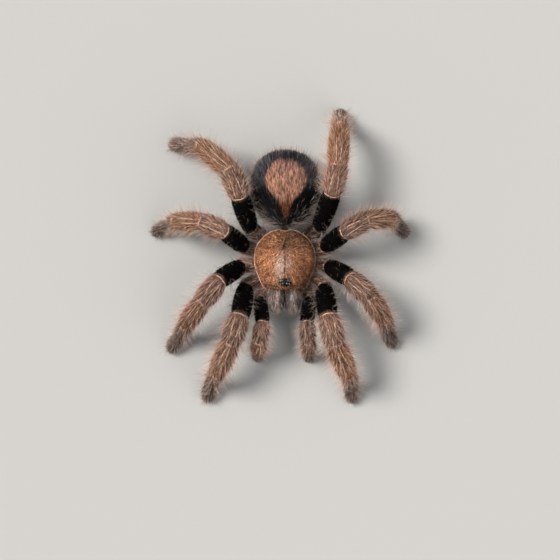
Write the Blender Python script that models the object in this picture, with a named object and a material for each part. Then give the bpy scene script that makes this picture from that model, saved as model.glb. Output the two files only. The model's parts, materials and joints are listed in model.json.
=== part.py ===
"""A tarantula at rest on its feet, life size, as a still museum model.

The animal faces -Y, its left side is +X and its feet stand on Z = 0.
Sizes in this file are millimetres and angles are degrees; every mesh is
written in metres. While the body is being built, X = Y = 0 is the middle of
the carapace. At the end the whole animal is shifted so that the middle of
its bounding box is over the origin.
"""

import math

import bmesh
import bpy
from mathutils import Matrix, Vector

MM = 0.001

# ---- driving dimensions ----
CUT_GAP = 0.3                    # clear space between neighbouring pieces
EYE_GAP = 0.05                   # clear space round an eye in its socket
TUBERCLE_GAP = 0.12              # clear space under the eye tubercle

CARAPACE_HALF_WIDTH = 6.65
CARAPACE_HALF_LENGTH = 6.1
CARAPACE_UNDERSIDE = 6.5
CARAPACE_RIM = 0.45              # thickness of the carapace at its edge
THORAX_TOP = 9.2
HEAD_TOP = 9.9
FRONT_SQUARENESS = 0.34
FRONT_NARROWING = 0.17
REAR_NOTCH = 0.07                # depth of the notch behind, as a share of the half length

STERNUM_HALF_WIDTH = 2.75
STERNUM_HALF_LENGTH = 4.1
STERNUM_UNDERSIDE = 3.2
STERNUM_MIDDLE = 0.2             # how far it lies behind the carapace's middle

ABDOMEN_CENTRE = (0.1, 15.0, 6.95)
ABDOMEN_HALF_SIZE = (7.35, 8.35, 5.85)

CHELICERA_LENGTH = 5.6
CHELICERA_HALF_WIDTH = 1.68
CHELICERA_HALF_HEIGHT = 2.05
CHELICERA_HEIGHT = 7.0           # of its middle, where it starts
CHELICERA_DROOP = 0.9            # how far its front end hangs below its start
CHELICERA_INNER_FLATNESS = 0.86  # the side towards the midline bulges less
CHELICERA_SIDES = 14
# How full its section is, as (share of its length, share of its full size).
CHELICERA_PROFILE = ((0, 0.84), (0.18, 0.97), (0.45, 1), (0.7, 0.95), (0.87, 0.78), (0.97, 0.45))
FANG_ROOT = (1.6, -10.75, 4.0)
FANG_ROOT_RADIUS = 0.5
FANG_TIP_RADIUS = 0.27
FANG_ARC_RADIUS = 2.3
FANG_SWEEP = 80
FANG_STEPS = 6
FANG_SIDES = 8

SPINNERET_LENGTH = 2.3
SPINNERET_RADIUS = 0.55
SPINNERET_ROOT = (0.9, 20.6, 1.95)
SPINNERET_AIM = (0.2, 0.85, 0.5)
PEDICEL_RADIUS = 0.95

HIP_HEIGHT = 4.9
TOE_RADIUS = 1.3
TOE_FLAT_DEPTH = 0.14            # how much of each round toe the floor cuts off

LIMB_SIDES = 10                  # corners of a limb's cross-section
LIMB_FLATTENING = 1.08           # height over width of a limb's cross-section
COXA_FLATTENING = 0.93
COXA_TILT = 4
TOE_RING_TURNS = (20, 48, 72)    # angles round the half ball that ends each toe

# Where each pair's coxa starts at the sternum and where its hip joint is,
# on the animal's left side.
COXA_ROOT = {"palp": (1.75, -4.65), "leg_1": (3.4, -3.05), "leg_2": (4.0, -0.75),
             "leg_3": (3.8, 1.55), "leg_4": (2.9, 3.8)}
HIP = {"palp": (5.35, -8.1), "leg_1": (8.3, -5.7), "leg_2": (9.2, -1.3),
       "leg_3": (8.3, 2.6), "leg_4": (7.25, 6.5)}

# Lengths of femur, patella, tibia, metatarsus and tarsus. A palp has no
# metatarsus.
LENGTHS = {"palp": (6.6, 4.2, 5.6, 4.2),
           "leg_1": (9.4, 6.2, 8.0, 6.0, 4.8),
           "leg_2": (8.6, 5.8, 7.2, 5.8, 4.7),
           "leg_3": (7.8, 5.4, 6.2, 6.2, 4.6),
           "leg_4": (9.8, 6.0, 8.6, 7.4, 4.7)}
LIMB_SCALE = {"palp": 0.74, "leg_1": 1.0, "leg_2": 0.96, "leg_3": 0.92, "leg_4": 0.98}

# The pose of each limb: the heading of each length, counted from +X towards
# +Y, and its tilt above the level. The length before the tarsus is tilted by
# as much as sets the toe on the floor, so its tilt is left out.
POSE = {
    "palp_left": ((-98, -87, -86, -84), (41, -6, -66)),
    "palp_right": ((-82, -98, -99, -98), (41, -6, -66)),
    "leg_1_left": ((-84, -76, -66, -74, -81), (52, -6, -21, -37)),
    "leg_1_right": ((-99, -109, -115, -118, -108), (52, -12, -20, -30)),
    "leg_2_left": ((-31, -43, -55, -65, -68), (56, 2, -34, -31)),
    "leg_2_right": ((-146, -130, -126, -124, -124), (54, -10, -23, -34)),
    "leg_3_left": ((36, 31, 5, -25, -43), (52, 5, -24, -33)),
    "leg_3_right": ((143, 157, 176, 198, 203), (50, 4, -24, -32)),
    "leg_4_left": ((70, 79, 86, 84, 80), (41, 14, -10, -62)),
    "leg_4_right": ((108, 110, 139, 170, 168), (48, 3, -18, -39)),
}

# Half-widths along each length at full scale, as (place along it, half-width).
# The first and last are at the joints.
PROFILES = {
    "coxa": ((0, 1.15), (0.45, 1.35), (0.8, 1.5), (1, 1.45)),
    "femur": ((0, 1.45), (0.22, 2.0), (0.5, 2.2), (0.8, 2.1), (1, 1.6)),
    "patella": ((0, 1.6), (0.28, 2.1), (0.66, 2.2), (1, 1.75)),
    "tibia": ((0, 1.75), (0.3, 2.0), (0.7, 1.9), (1, 1.45)),
    "metatarsus": ((0, 1.45), (0.35, 1.45), (1, 1.35)),
    "tarsus": ((0, 1.35), (0.35, 1.6), (0.7, 1.5)),
}

# The solids of each limb and the lengths that each one holds.
LEG_PIECES = {"coxa": ["coxa"], "femur": ["femur"], "shin": ["patella", "tibia"],
              "foot": ["metatarsus", "tarsus"]}
PALP_PIECES = {"coxa": ["coxa"], "femur": ["femur"], "shin": ["patella", "tibia"],
               "foot": ["tarsus"]}

# Eyes as (distance from the midline, distance along the body, height, radius),
# counted from the middle of the tubercle's foot.
TUBERCLE_CENTRE = (0.0, -4.75, 9.62)
TUBERCLE_HALF_SIZE = (1.2, 0.85, 0.62)
EYES = {"front_middle": (0.46, -0.34, 0.38, 0.24),
        "front_side": (0.93, -0.42, 0.1, 0.2),
        "rear_side": (0.92, 0.16, 0.17, 0.18),
        "rear_middle": (0.52, 0.3, 0.4, 0.13)}

# Colour and roughness of each kind of surface.
FINISHES = {
    "carapace": ((0.30, 0.14, 0.075), 0.7),
    "body_underside": ((0.035, 0.025, 0.02), 0.8),
    "abdomen": ((0.03, 0.024, 0.024), 0.85),
    "chelicera": ((0.14, 0.095, 0.08), 0.75),
    "coxa": ((0.12, 0.075, 0.06), 0.8),
    "femur": ((0.006, 0.005, 0.005), 0.8),
    "shin": ((0.27, 0.145, 0.09), 0.75),
    "foot": ((0.16, 0.095, 0.075), 0.8),
    "eye": ((0.01, 0.008, 0.008), 0.08),
    "fang": ((0.012, 0.008, 0.007), 0.25),
}


def remove_old_objects():
    for old in list(bpy.data.objects):
        bpy.data.objects.remove(old, do_unlink=True)


def make_collection(name):
    collection = bpy.data.collections.new(name)
    bpy.context.scene.collection.children.link(collection)
    return collection


def make_material(finish):
    colour, roughness = FINISHES[finish]
    material = bpy.data.materials.get(finish)
    if material:
        return material
    material = bpy.data.materials.new(finish)
    material.use_nodes = True
    shader = material.node_tree.nodes["Principled BSDF"]
    shader.inputs["Base Color"].default_value = (*colour, 1.0)
    shader.inputs["Roughness"].default_value = roughness
    shader.inputs["Metallic"].default_value = 0.0
    return material


def add_piece(name, mesh_builder, place, finish):
    """Turn a bmesh in millimetres about `place` into one named object."""
    bmesh.ops.scale(mesh_builder, vec=(MM, MM, MM), verts=mesh_builder.verts)
    bmesh.ops.recalc_face_normals(mesh_builder, faces=mesh_builder.faces)
    mesh = bpy.data.meshes.new(name)
    mesh_builder.to_mesh(mesh)
    mesh_builder.free()
    mesh.shade_smooth()
    mesh.set_sharp_from_angle(angle=math.radians(50))
    mesh.materials.append(make_material(finish))
    piece = bpy.data.objects.new(name, mesh)
    piece.location = Vector(place) * MM
    piece.parent = animal
    solids.objects.link(piece)
    return piece


def ball(sides, rings, shape):
    """A closed ball whose every point on the unit sphere is moved by `shape`."""
    builder = bmesh.new()
    bmesh.ops.create_uvsphere(builder, u_segments=sides, v_segments=rings, radius=1.0)
    for vert in builder.verts:
        vert.co = shape(vert.co.copy())
    return builder


def signed_power(value, power):
    return math.copysign(abs(value) ** power, value)


def smooth_step(low, high, value):
    t = min(max((value - low) / (high - low), 0.0), 1.0)
    return t * t * (3 - 2 * t)


def mirror_x(point, side):
    """Take a point of the left side to the side asked for: 1 left, -1 right."""
    return Vector((point[0] * side, *point[1:]))


# ---- trunk ----

def carapace_outline(direction):
    """Edge of the carapace, seen from above, towards a level unit direction."""
    across, along = direction.x, direction.y
    front = max(-along, 0.0)
    roundness = 0.92 - FRONT_SQUARENESS * smooth_step(0.3, 1.0, front)
    narrowing = FRONT_NARROWING * smooth_step(0.1, 0.9, front)
    x = signed_power(across, roundness) * (1 - narrowing)
    y = signed_power(along, 0.96)
    notch = REAR_NOTCH * math.exp(-((across / 0.16) ** 2)) if along > 0 else 0.0
    return Vector((x * CARAPACE_HALF_WIDTH, (y - notch) * CARAPACE_HALF_LENGTH, 0))


def carapace_shape(point):
    """The carapace's dome, higher and blunter over the head, with a level underside."""
    level = Vector((point.x, point.y, 0))
    reach = min(level.length, 1.0)
    if reach < 1e-6:
        edge = Vector((0, 0, 0))
    else:
        edge = carapace_outline(level / reach) * reach
    if point.z < -1e-4:
        return Vector((edge.x, edge.y, CARAPACE_UNDERSIDE))
    head = smooth_step(1.5, -2.8, edge.y) * (1 - smooth_step(2.4, 5.4, abs(edge.x)))
    top = THORAX_TOP + (HEAD_TOP - THORAX_TOP) * head
    rim = CARAPACE_UNDERSIDE + CARAPACE_RIM
    fullness = 0.75 - 0.42 * head
    return Vector((edge.x, edge.y, rim + (top - rim) * max(point.z, 0) ** fullness))


def make_carapace():
    shell = ball(28, 12, carapace_shape)
    add_piece("carapace", shell, (0, 0, 0), "carapace")


def make_sternum():
    half_height = (CARAPACE_UNDERSIDE - CUT_GAP - STERNUM_UNDERSIDE) / 2
    middle = STERNUM_UNDERSIDE + half_height

    def shape(point):
        x = signed_power(point.x, 0.85) * STERNUM_HALF_WIDTH
        y = signed_power(point.y, 0.85) * STERNUM_HALF_LENGTH
        return Vector((x, y, signed_power(point.z, 0.6) * half_height))

    add_piece("sternum", ball(16, 8, shape), (0, STERNUM_MIDDLE, middle), "body_underside")


def make_abdomen():
    def shape(point):
        broad = 1 + 0.06 * point.y
        flat = 0.93 if point.z < 0 else 1.0
        x = signed_power(point.x, 0.97) * broad * ABDOMEN_HALF_SIZE[0]
        y = signed_power(point.y, 0.97) * ABDOMEN_HALF_SIZE[1]
        return Vector((x, y, point.z * flat * ABDOMEN_HALF_SIZE[2]))

    add_piece("abdomen", ball(28, 16, shape), ABDOMEN_CENTRE, "abdomen")


def make_pedicel():
    front = STERNUM_MIDDLE + STERNUM_HALF_LENGTH + CUT_GAP
    rear = ABDOMEN_CENTRE[1] - ABDOMEN_HALF_SIZE[1] - CUT_GAP
    builder = bmesh.new()
    turn = Matrix.Rotation(math.radians(90), 4, "X")
    bmesh.ops.create_cone(builder, cap_ends=True, segments=14, radius1=PEDICEL_RADIUS,
                          radius2=PEDICEL_RADIUS, depth=rear - front, matrix=turn)
    height = CARAPACE_UNDERSIDE - CUT_GAP - PEDICEL_RADIUS
    add_piece("pedicel", builder, (0, (front + rear) / 2, height), "body_underside")


def make_spinneret(side):
    """One of the two long spinnerets that show under the rear of the abdomen."""
    root = mirror_x(SPINNERET_ROOT, side) + Vector((ABDOMEN_CENTRE[0], 0, 0))
    aim = mirror_x(SPINNERET_AIM, side).normalized()
    turn = Vector((0, 0, 1)).rotation_difference(aim).to_matrix()

    def shape(point):
        taper = 1 - 0.3 * point.z
        length = (point.z + 1) / 2 * SPINNERET_LENGTH
        across = Vector((point.x * taper * SPINNERET_RADIUS, point.y * taper * SPINNERET_RADIUS, length))
        return turn @ across

    name = f"spinneret_{side_name(side)}"
    add_piece(name, ball(10, 8, shape), root, "abdomen")


# ---- head ----

def eye_places():
    """Yield each eye's name, its middle in body millimetres and its radius."""
    for kind, (across, along, up, radius) in EYES.items():
        for side in (1, -1):
            offset = mirror_x((across, along, up), side)
            yield f"eye_{kind}_{side_name(side)}", Vector(TUBERCLE_CENTRE) + offset, radius


def make_eyes():
    for name, middle, radius in eye_places():
        builder = bmesh.new()
        bmesh.ops.create_uvsphere(builder, u_segments=10, v_segments=7, radius=radius)
        add_piece(name, builder, middle, "eye")


def cut_with(piece, name, builder, place):
    """Cut a closed shape, in millimetres about `place`, out of a piece."""
    bmesh.ops.scale(builder, vec=(MM, MM, MM), verts=builder.verts)
    mesh = bpy.data.meshes.new(name)
    builder.to_mesh(mesh)
    builder.free()
    cutter = bpy.data.objects.new(name, mesh)
    cutter.location = Vector(place) * MM
    cutter.parent = animal
    cutter.hide_render = True
    cutter.display_type = "WIRE"
    cutters.objects.link(cutter)
    cut = piece.modifiers.new(name, "BOOLEAN")
    cut.operation = "DIFFERENCE"
    cut.solver = "EXACT"
    cut.object = cutter


def make_eye_tubercle():
    """The low mound that carries the eyes, seated on the carapace."""
    def shape(point):
        x = signed_power(point.x, 0.9) * TUBERCLE_HALF_SIZE[0]
        y = signed_power(point.y, 0.9) * TUBERCLE_HALF_SIZE[1]
        return Vector((x, y, point.z * TUBERCLE_HALF_SIZE[2]))

    mound = add_piece("eye_tubercle", ball(16, 8, shape), TUBERCLE_CENTRE, "carapace")
    cut_with(mound, "tubercle_seat", ball(28, 12, carapace_shape), (0, 0, TUBERCLE_GAP))
    for name, middle, radius in eye_places():
        socket = bmesh.new()
        bmesh.ops.create_uvsphere(socket, u_segments=8, v_segments=6, radius=radius + EYE_GAP)
        cut_with(mound, f"socket_{name}", socket, middle)


def chelicera_section(forward, fullness, side):
    """Corners of a chelicera's section, a share `forward` of its length out."""
    drop = CHELICERA_DROOP * forward ** 1.6
    corners = []
    for k in range(CHELICERA_SIDES):
        angle = 2 * math.pi * (k + 0.5) / CHELICERA_SIDES
        x = signed_power(math.cos(angle), 0.8) * CHELICERA_HALF_WIDTH * fullness
        if x * side < 0:
            x *= CHELICERA_INNER_FLATNESS
        z = signed_power(math.sin(angle), 0.8) * CHELICERA_HALF_HEIGHT * fullness
        corners.append(Vector((x, -forward * CHELICERA_LENGTH, z - drop)))
    return corners


def make_chelicera(side):
    """One of the two stout jaws that reach forwards and droop at the front."""
    rings = [chelicera_section(forward, fullness, side) for forward, fullness in CHELICERA_PROFILE]
    across = CUT_GAP / 2 + CHELICERA_HALF_WIDTH * CHELICERA_INNER_FLATNESS
    root = mirror_x((across, -CARAPACE_HALF_LENGTH - CUT_GAP, CHELICERA_HEIGHT), side)
    add_piece(f"chelicera_{side_name(side)}", loft(rings), root, "chelicera")


def make_fang(side):
    """A fang folded back under its chelicera, as a tapering arc."""
    rings = []
    for step in range(FANG_STEPS + 1):
        t = step / FANG_STEPS
        bend = math.radians(FANG_SWEEP) * t
        back = FANG_ARC_RADIUS * (1 - math.cos(bend))
        down = FANG_ARC_RADIUS * math.sin(bend)
        along = Vector((0, math.sin(bend), -math.cos(bend)))
        radius = FANG_ROOT_RADIUS + (FANG_TIP_RADIUS - FANG_ROOT_RADIUS) * t
        rings.append(round_section(Vector((0, back, -down)), along, radius, radius, FANG_SIDES))
    add_piece(f"fang_{side_name(side)}", loft(rings), mirror_x(FANG_ROOT, side), "fang")


# ---- limbs ----

def side_name(side):
    return "left" if side > 0 else "right"


def heading_vector(heading, tilt):
    """Unit vector at a heading counted from +X towards +Y and a tilt above the level."""
    a, b = math.radians(heading), math.radians(tilt)
    return Vector((math.cos(a) * math.cos(b), math.sin(a) * math.cos(b), math.sin(b)))


def round_section(middle, along, half_width, half_height, sides):
    """Corners of an upright oval section whose plane is square to `along`."""
    across = along.cross(Vector((0, 0, 1)))
    if across.length < 0.05:
        across = Vector((1, 0, 0))
    across.normalize()
    up = across.cross(along).normalized()
    corners = []
    for k in range(sides):
        angle = 2 * math.pi * (k + 0.5) / sides
        corners.append(middle + across * half_width * math.cos(angle) + up * half_height * math.sin(angle))
    return corners


def loft(rings):
    """A closed skin through rings that all have the same number of corners."""
    builder = bmesh.new()
    loops = [[builder.verts.new(corner) for corner in ring] for ring in rings]
    count = len(rings[0])
    for first, second in zip(loops, loops[1:]):
        for k in range(count):
            after = (k + 1) % count
            builder.faces.new((first[k], first[after], second[after], second[k]))
    builder.faces.new(loops[0][::-1])
    builder.faces.new(loops[-1])
    return builder


def mitre(ring, along, joint, normal, shift):
    """Slide a ring's corners along the limb onto the plane that cuts a joint."""
    moved = []
    for corner in ring:
        distance = ((joint - corner).dot(normal) + shift) / along.dot(normal)
        moved.append(corner + along * distance)
    return moved


def tilt_that_lands(kind, tilts):
    """Tilt of the length before the tarsus that sets the toe on the floor."""
    toe_radius = TOE_RADIUS * LIMB_SCALE[kind]
    *upper, before_last, last = LENGTHS[kind]
    drop = HIP_HEIGHT - (toe_radius - TOE_FLAT_DEPTH)
    for length, tilt in zip([*upper, last - toe_radius], tilts):
        drop += length * math.sin(math.radians(tilt))
    return -math.degrees(math.asin(drop / before_last))


def limb_course(limb):
    """Directions of a limb's lengths, the coxa first, and the places of its joints."""
    kind, side_word = limb.rsplit("_", 1)
    side = 1 if side_word == "left" else -1
    headings, tilts = POSE[limb]
    tilts = [*tilts[:-1], tilt_that_lands(kind, tilts), tilts[-1]]
    hip = mirror_x((*HIP[kind], HIP_HEIGHT), side)
    coxa = hip - mirror_x((*COXA_ROOT[kind], HIP_HEIGHT), side)
    directions = [heading_vector(math.degrees(math.atan2(coxa.y, coxa.x)), COXA_TILT)]
    directions += [heading_vector(*turn) for turn in zip(headings, tilts)]
    joints = [hip - directions[0] * coxa.length, hip]
    for direction, length in zip(directions[1:], LENGTHS[kind]):
        joints.append(joints[-1] + direction * length)
    return directions, joints


def make_limb(limb):
    """The solids of one leg or palp, parted by a thin cut at each main joint."""
    kind = limb.rsplit("_", 1)[0]
    directions, joints = limb_course(limb)
    pieces = PALP_PIECES if kind == "palp" else LEG_PIECES
    names = [name for lengths in pieces.values() for name in lengths]
    first = 0
    for piece, lengths in pieces.items():
        last = first + len(lengths) - 1
        rings = []
        for index in range(first, last + 1):
            half_gap = (CUT_GAP / 2 * (index == first), CUT_GAP / 2 * (index == last))
            part = length_rings(names[index], index, directions, joints, LIMB_SCALE[kind], half_gap)
            rings += part if index == last else part[:-1]
        origin = joints[first]
        builder = loft([[corner - origin for corner in ring] for ring in rings])
        if piece == "foot":
            flatten_foot(builder, -origin.z)
        add_piece(f"{limb}_{piece}", builder, origin, piece)
        first = last + 1


def length_rings(name, index, directions, joints, scale, half_gap):
    """Rings of one length of a limb, mitred where it meets its neighbours."""
    along, start, end = directions[index], joints[index], joints[index + 1]
    flattening = COXA_FLATTENING if name == "coxa" else LIMB_FLATTENING
    rings = []
    for place, half_width in PROFILES[name]:
        half = half_width * scale
        middle = start.lerp(end, place)
        rings.append(round_section(middle, along, half, half * flattening, LIMB_SIDES))
    if index > 0:
        normal = (directions[index - 1] + along).normalized()
        rings[0] = mitre(rings[0], along, start, normal, half_gap[0])
    if name == "tarsus":
        return rings + toe_rings(end, along, TOE_RADIUS * scale)
    normal = (directions[index + 1] + along).normalized()
    rings[-1] = mitre(rings[-1], along, end, normal, -half_gap[1])
    return rings


def toe_rings(end, along, radius):
    """The half ball that ends a tarsus."""
    rings = []
    for turn in TOE_RING_TURNS:
        out = math.radians(turn)
        middle = end - along * radius * (1 - math.sin(out))
        half = radius * math.cos(out)
        rings.append(round_section(middle, along, half, half, LIMB_SIDES))
    return rings


def flatten_foot(builder, floor):
    """Cut the foot level with the floor and close the cut with a flat."""
    everything = builder.verts[:] + builder.edges[:] + builder.faces[:]
    bmesh.ops.bisect_plane(builder, geom=everything, dist=1e-6, plane_co=(0, 0, floor),
                           plane_no=(0, 0, 1), clear_inner=True)
    open_edges = [edge for edge in builder.edges if edge.is_boundary]
    bmesh.ops.contextual_create(builder, geom=open_edges)


def stand_over_origin():
    """Shift the animal so that the middle of its outline is over the origin."""
    bpy.context.view_layer.update()
    corners = []
    for piece in solids.objects:
        if piece.type == "MESH":
            corners += [piece.matrix_world @ vert.co for vert in piece.data.vertices]
    for axis in (0, 1):
        places = [corner[axis] for corner in corners]
        animal.location[axis] -= (min(places) + max(places)) / 2


remove_old_objects()
solids = make_collection("tarantula")
cutters = make_collection("cutters")
animal = bpy.data.objects.new("animal", None)
solids.objects.link(animal)

make_carapace()
make_sternum()
make_pedicel()
make_abdomen()
make_eyes()
make_eye_tubercle()
for body_side in (1, -1):
    make_chelicera(body_side)
    make_fang(body_side)
    make_spinneret(body_side)
for limb_name in POSE:
    make_limb(limb_name)
stand_over_origin()
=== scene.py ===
import json
import math

import bmesh
import bpy
import numpy as np
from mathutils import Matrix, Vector, noise
from mathutils.bvhtree import BVHTree
from mathutils.kdtree import KDTree

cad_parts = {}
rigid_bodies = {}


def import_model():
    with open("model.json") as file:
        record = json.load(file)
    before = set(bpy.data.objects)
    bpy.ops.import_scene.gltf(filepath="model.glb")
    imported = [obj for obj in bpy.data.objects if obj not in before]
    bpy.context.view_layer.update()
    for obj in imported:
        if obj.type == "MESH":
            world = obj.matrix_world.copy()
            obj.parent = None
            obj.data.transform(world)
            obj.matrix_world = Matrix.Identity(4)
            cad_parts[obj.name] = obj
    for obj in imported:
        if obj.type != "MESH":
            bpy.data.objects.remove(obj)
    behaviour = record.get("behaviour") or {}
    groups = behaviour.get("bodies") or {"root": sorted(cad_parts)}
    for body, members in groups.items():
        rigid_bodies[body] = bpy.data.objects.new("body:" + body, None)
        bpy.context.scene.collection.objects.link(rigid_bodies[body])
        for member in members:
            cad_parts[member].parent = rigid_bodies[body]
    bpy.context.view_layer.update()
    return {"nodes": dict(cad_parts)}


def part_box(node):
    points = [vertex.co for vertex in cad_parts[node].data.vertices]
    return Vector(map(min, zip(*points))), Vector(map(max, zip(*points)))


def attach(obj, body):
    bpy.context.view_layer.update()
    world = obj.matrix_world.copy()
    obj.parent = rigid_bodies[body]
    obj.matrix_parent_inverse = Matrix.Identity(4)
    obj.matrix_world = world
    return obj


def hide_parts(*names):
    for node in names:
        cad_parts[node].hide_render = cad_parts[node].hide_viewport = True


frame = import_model()
mm = 0.001
print("frame loaded:", len(frame["nodes"]), "nodes")

# sizes are millimetres in the body's own frame: middle of the carapace at x = y = 0, front towards -y
carapaceLow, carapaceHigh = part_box("carapace")
carapaceFront = 6.1      # from the middle of the CAD carapace to its front edge
bodyShift = np.array([(carapaceLow.x + carapaceHigh.x) / 2 / mm, carapaceLow.y / mm + carapaceFront, 0.0])
sides = {1: "left", -1: "right"}


def toFrame(points):
    return (np.asarray(points, float) + bodyShift) * mm


def smoothStep(low, high, value):
    t = np.clip((np.asarray(value, float) - low) / (high - low), 0, 1)
    return t * t * (3 - 2 * t)


def bell(value, middle, width):
    return np.exp(-((np.asarray(value, float) - middle) / width) ** 2)


def blurRows(values, sigma):
    # gaussian blur down the first axis, ends held
    reach = max(1, int(math.ceil(sigma * 3)))
    kernel = np.exp(-0.5 * (np.arange(-reach, reach + 1) / sigma) ** 2)
    kernel /= kernel.sum()
    padded = np.concatenate([np.repeat(values[:1], reach, 0), values, np.repeat(values[-1:], reach, 0)])
    return sum(k * padded[i:i + len(values)] for i, k in enumerate(kernel))


def unit(vectors):
    vectors = np.asarray(vectors, float)
    return vectors / np.maximum(np.linalg.norm(vectors, axis=-1, keepdims=True), 1e-9)


def signedPower(value, power):
    return np.sign(value) * np.abs(value) ** power


def readOff(table, value):
    # a table of pairs, read between its lines
    return np.interp(value, *np.array(table).T)


def around(columns):
    # one full turn, the last step meeting the first
    return np.linspace(0, 2 * math.pi, columns)


def linear(red, green, blue):
    # display colour 0-255 to linear light
    shares = np.array([red, green, blue]) / 255
    return np.where(shares <= 0.04045, shares / 12.92, ((shares + 0.055) / 1.055) ** 2.4)


def tinted(tone, target, share):
    # tone moved towards another colour by a share at each point
    return tone + (target - tone) * share[..., None]


def ripple(points, scale, seed=0.0):
    # smooth noise -1..1 at every point of an (n, m, 3) grid
    flat = np.asarray(points, float).reshape(-1, 3)
    values = [noise.noise(Vector((p[0] * scale + seed, p[1] * scale - seed, p[2] * scale))) for p in flat]
    return np.array(values).reshape(np.asarray(points).shape[:-1])


def sweep(path, across, up, wide, tall, turn):
    # rings round a path
    return (path[:, None] + across[:, None] * (wide[:, None] * np.cos(turn))[..., None]
            + up[:, None] * (tall[:, None] * np.sin(turn))[..., None])


class Bed:
    # points are rows along the hair's lie and columns around, the last column repeating the first
    fields = {"cover": 1.0, "reach": 1.0, "lift": 20.0, "bristly": 0.0, "velvet": 0.0}

    def __init__(self, name, points, lie=None):
        self.name = name
        self.points = np.asarray(points, float)
        rows, columns = self.points.shape[:2]
        down = np.gradient(self.points, axis=0)
        across = np.gradient(self.points, axis=1)
        across[:, 0] = across[:, -1] = (self.points[:, 1] - self.points[:, -2]) / 2
        self.normals = unit(np.cross(across, down))
        outward = self.points - self.points.mean(1, keepdims=True)
        self.flipped = (self.normals * outward).sum() < 0
        if self.flipped:
            self.normals = -self.normals
        self.lie = unit(down if lie is None else lie)
        self.rowShare = np.linspace(0, 1, rows)[:, None] * np.ones((1, columns))
        self.turnShare = np.linspace(0, 1, columns)[None, :] * np.ones((rows, 1))
        self.tone = np.zeros(self.points.shape)
        self.fill(**self.fields)

    def fill(self, **values):
        for field, value in values.items():
            setattr(self, field, np.full(self.points.shape[:2], value))

    def layAlong(self, flow):
        # hair follows the flow along the skin
        self.lie = unit(flow - self.normals * (flow * self.normals).sum(-1, keepdims=True))

    def tint(self, target, share):
        self.tone = tinted(self.tone, target, share)

    def shade(self, gain):
        self.tone = self.tone * gain[..., None]

    def faces(self, welded=False):
        rows, columns = self.points.shape[:2]
        stride = columns - 1 if welded else columns
        quads = []
        for i in range(rows - 1):
            for j in range(columns - 1):
                after = (j + 1) % stride
                quad = (i * stride + j, i * stride + after, (i + 1) * stride + after, (i + 1) * stride + j)
                quads.append(quad[::-1] if self.flipped else quad)
        return quads

    def closed(self):
        # welded copy with both ends capped, for the skin
        rows, columns = self.points.shape[:2]
        stride = columns - 1
        verts = self.points[:, :-1].reshape(-1, 3)
        quads = self.faces(welded=True)
        for row in (0, rows - 1):
            middle = len(verts)
            verts = np.vstack([verts, self.points[row, :-1].mean(0)])
            for j in range(stride):
                pair = (row * stride + (j + 1) % stride, row * stride + j)
                quads.append((*(pair if row == 0 else pair[::-1]), middle))
        return verts, quads


def addObject(name, data):
    thing = bpy.data.objects.new(name, data)
    bpy.context.scene.collection.objects.link(thing)
    return thing


def makeMesh(name, verts, faces, material=None, smooth=True):
    mesh = bpy.data.meshes.new(name)
    mesh.from_pydata([tuple(v) for v in verts], [], [tuple(f) for f in faces])
    mesh.validate()
    if smooth:
        mesh.shade_smooth()
    if material:
        mesh.materials.append(material)
    return addObject(name, mesh)


def merged(parts):
    # several sets of points and faces as one
    verts, faces, count = [], [], 0
    for points, quads in parts:
        verts.append(points)
        faces += [tuple(k + count for k in quad) for quad in quads]
        count += len(points)
    return toFrame(np.vstack(verts)), faces


def pointOutwards(thing, weld=1e-8):
    builder = bmesh.new()
    builder.from_mesh(thing.data)
    if weld:
        bmesh.ops.remove_doubles(builder, verts=builder.verts, dist=weld)
    bmesh.ops.recalc_face_normals(builder, faces=builder.faces)
    builder.to_mesh(thing.data)
    builder.free()


def storeField(mesh, name, values):
    values = np.asarray(values, np.float32)
    kind, key = ("FLOAT_VECTOR", "vector") if values.ndim == 2 else ("FLOAT", "value")
    mesh.attributes.new(name, kind, "POINT").data.foreach_set(key, values.ravel())


# headings, then tilts in degrees of each length from the femur out; the one before the tarsus is worked out
limbStance = {
    "palp_left": ((-98, -87, -86, -84), (41, -6, -66)),
    "palp_right": ((-82, -98, -99, -98), (41, -6, -66)),
    "leg_1_left": ((-84, -76, -66, -74, -81), (52, -6, -21, -37)),
    "leg_1_right": ((-99, -109, -115, -118, -108), (52, -12, -20, -30)),
    "leg_2_left": ((-31, -43, -55, -65, -68), (56, 2, -34, -31)),
    "leg_2_right": ((-146, -130, -126, -124, -124), (54, -10, -23, -34)),
    "leg_3_left": ((36, 31, 5, -25, -43), (52, 5, -24, -33)),
    "leg_3_right": ((143, 157, 176, 198, 203), (50, 4, -24, -32)),
    "leg_4_left": ((70, 79, 86, 84, 80), (41, 14, -10, -62)),
    "leg_4_right": ((108, 110, 139, 170, 168), (48, 3, -18, -39)),
}
limbKinds = {  # coxa's inner end, hip, lengths from the femur out, girth, brightness of the coxa's hair
    "palp": ((1.75, -4.65), (5.35, -8.1), (6.6, 4.2, 5.6, 4.2), 0.74, 1.6),
    "leg_1": ((3.4, -3.05), (8.3, -5.7), (9.4, 6.2, 8.0, 6.0, 4.8), 1.0, 1.6),
    "leg_2": ((4.0, -0.75), (9.2, -1.3), (8.6, 5.8, 7.2, 5.8, 4.7), 0.96, 1.3),
    "leg_3": ((3.8, 1.55), (8.3, 2.6), (7.8, 5.4, 6.2, 6.2, 4.6), 0.92, 1.0),
    "leg_4": ((2.9, 3.8), (7.25, 6.5), (9.8, 6.0, 8.6, 7.4, 4.7), 0.98, 0.45),
}
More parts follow.
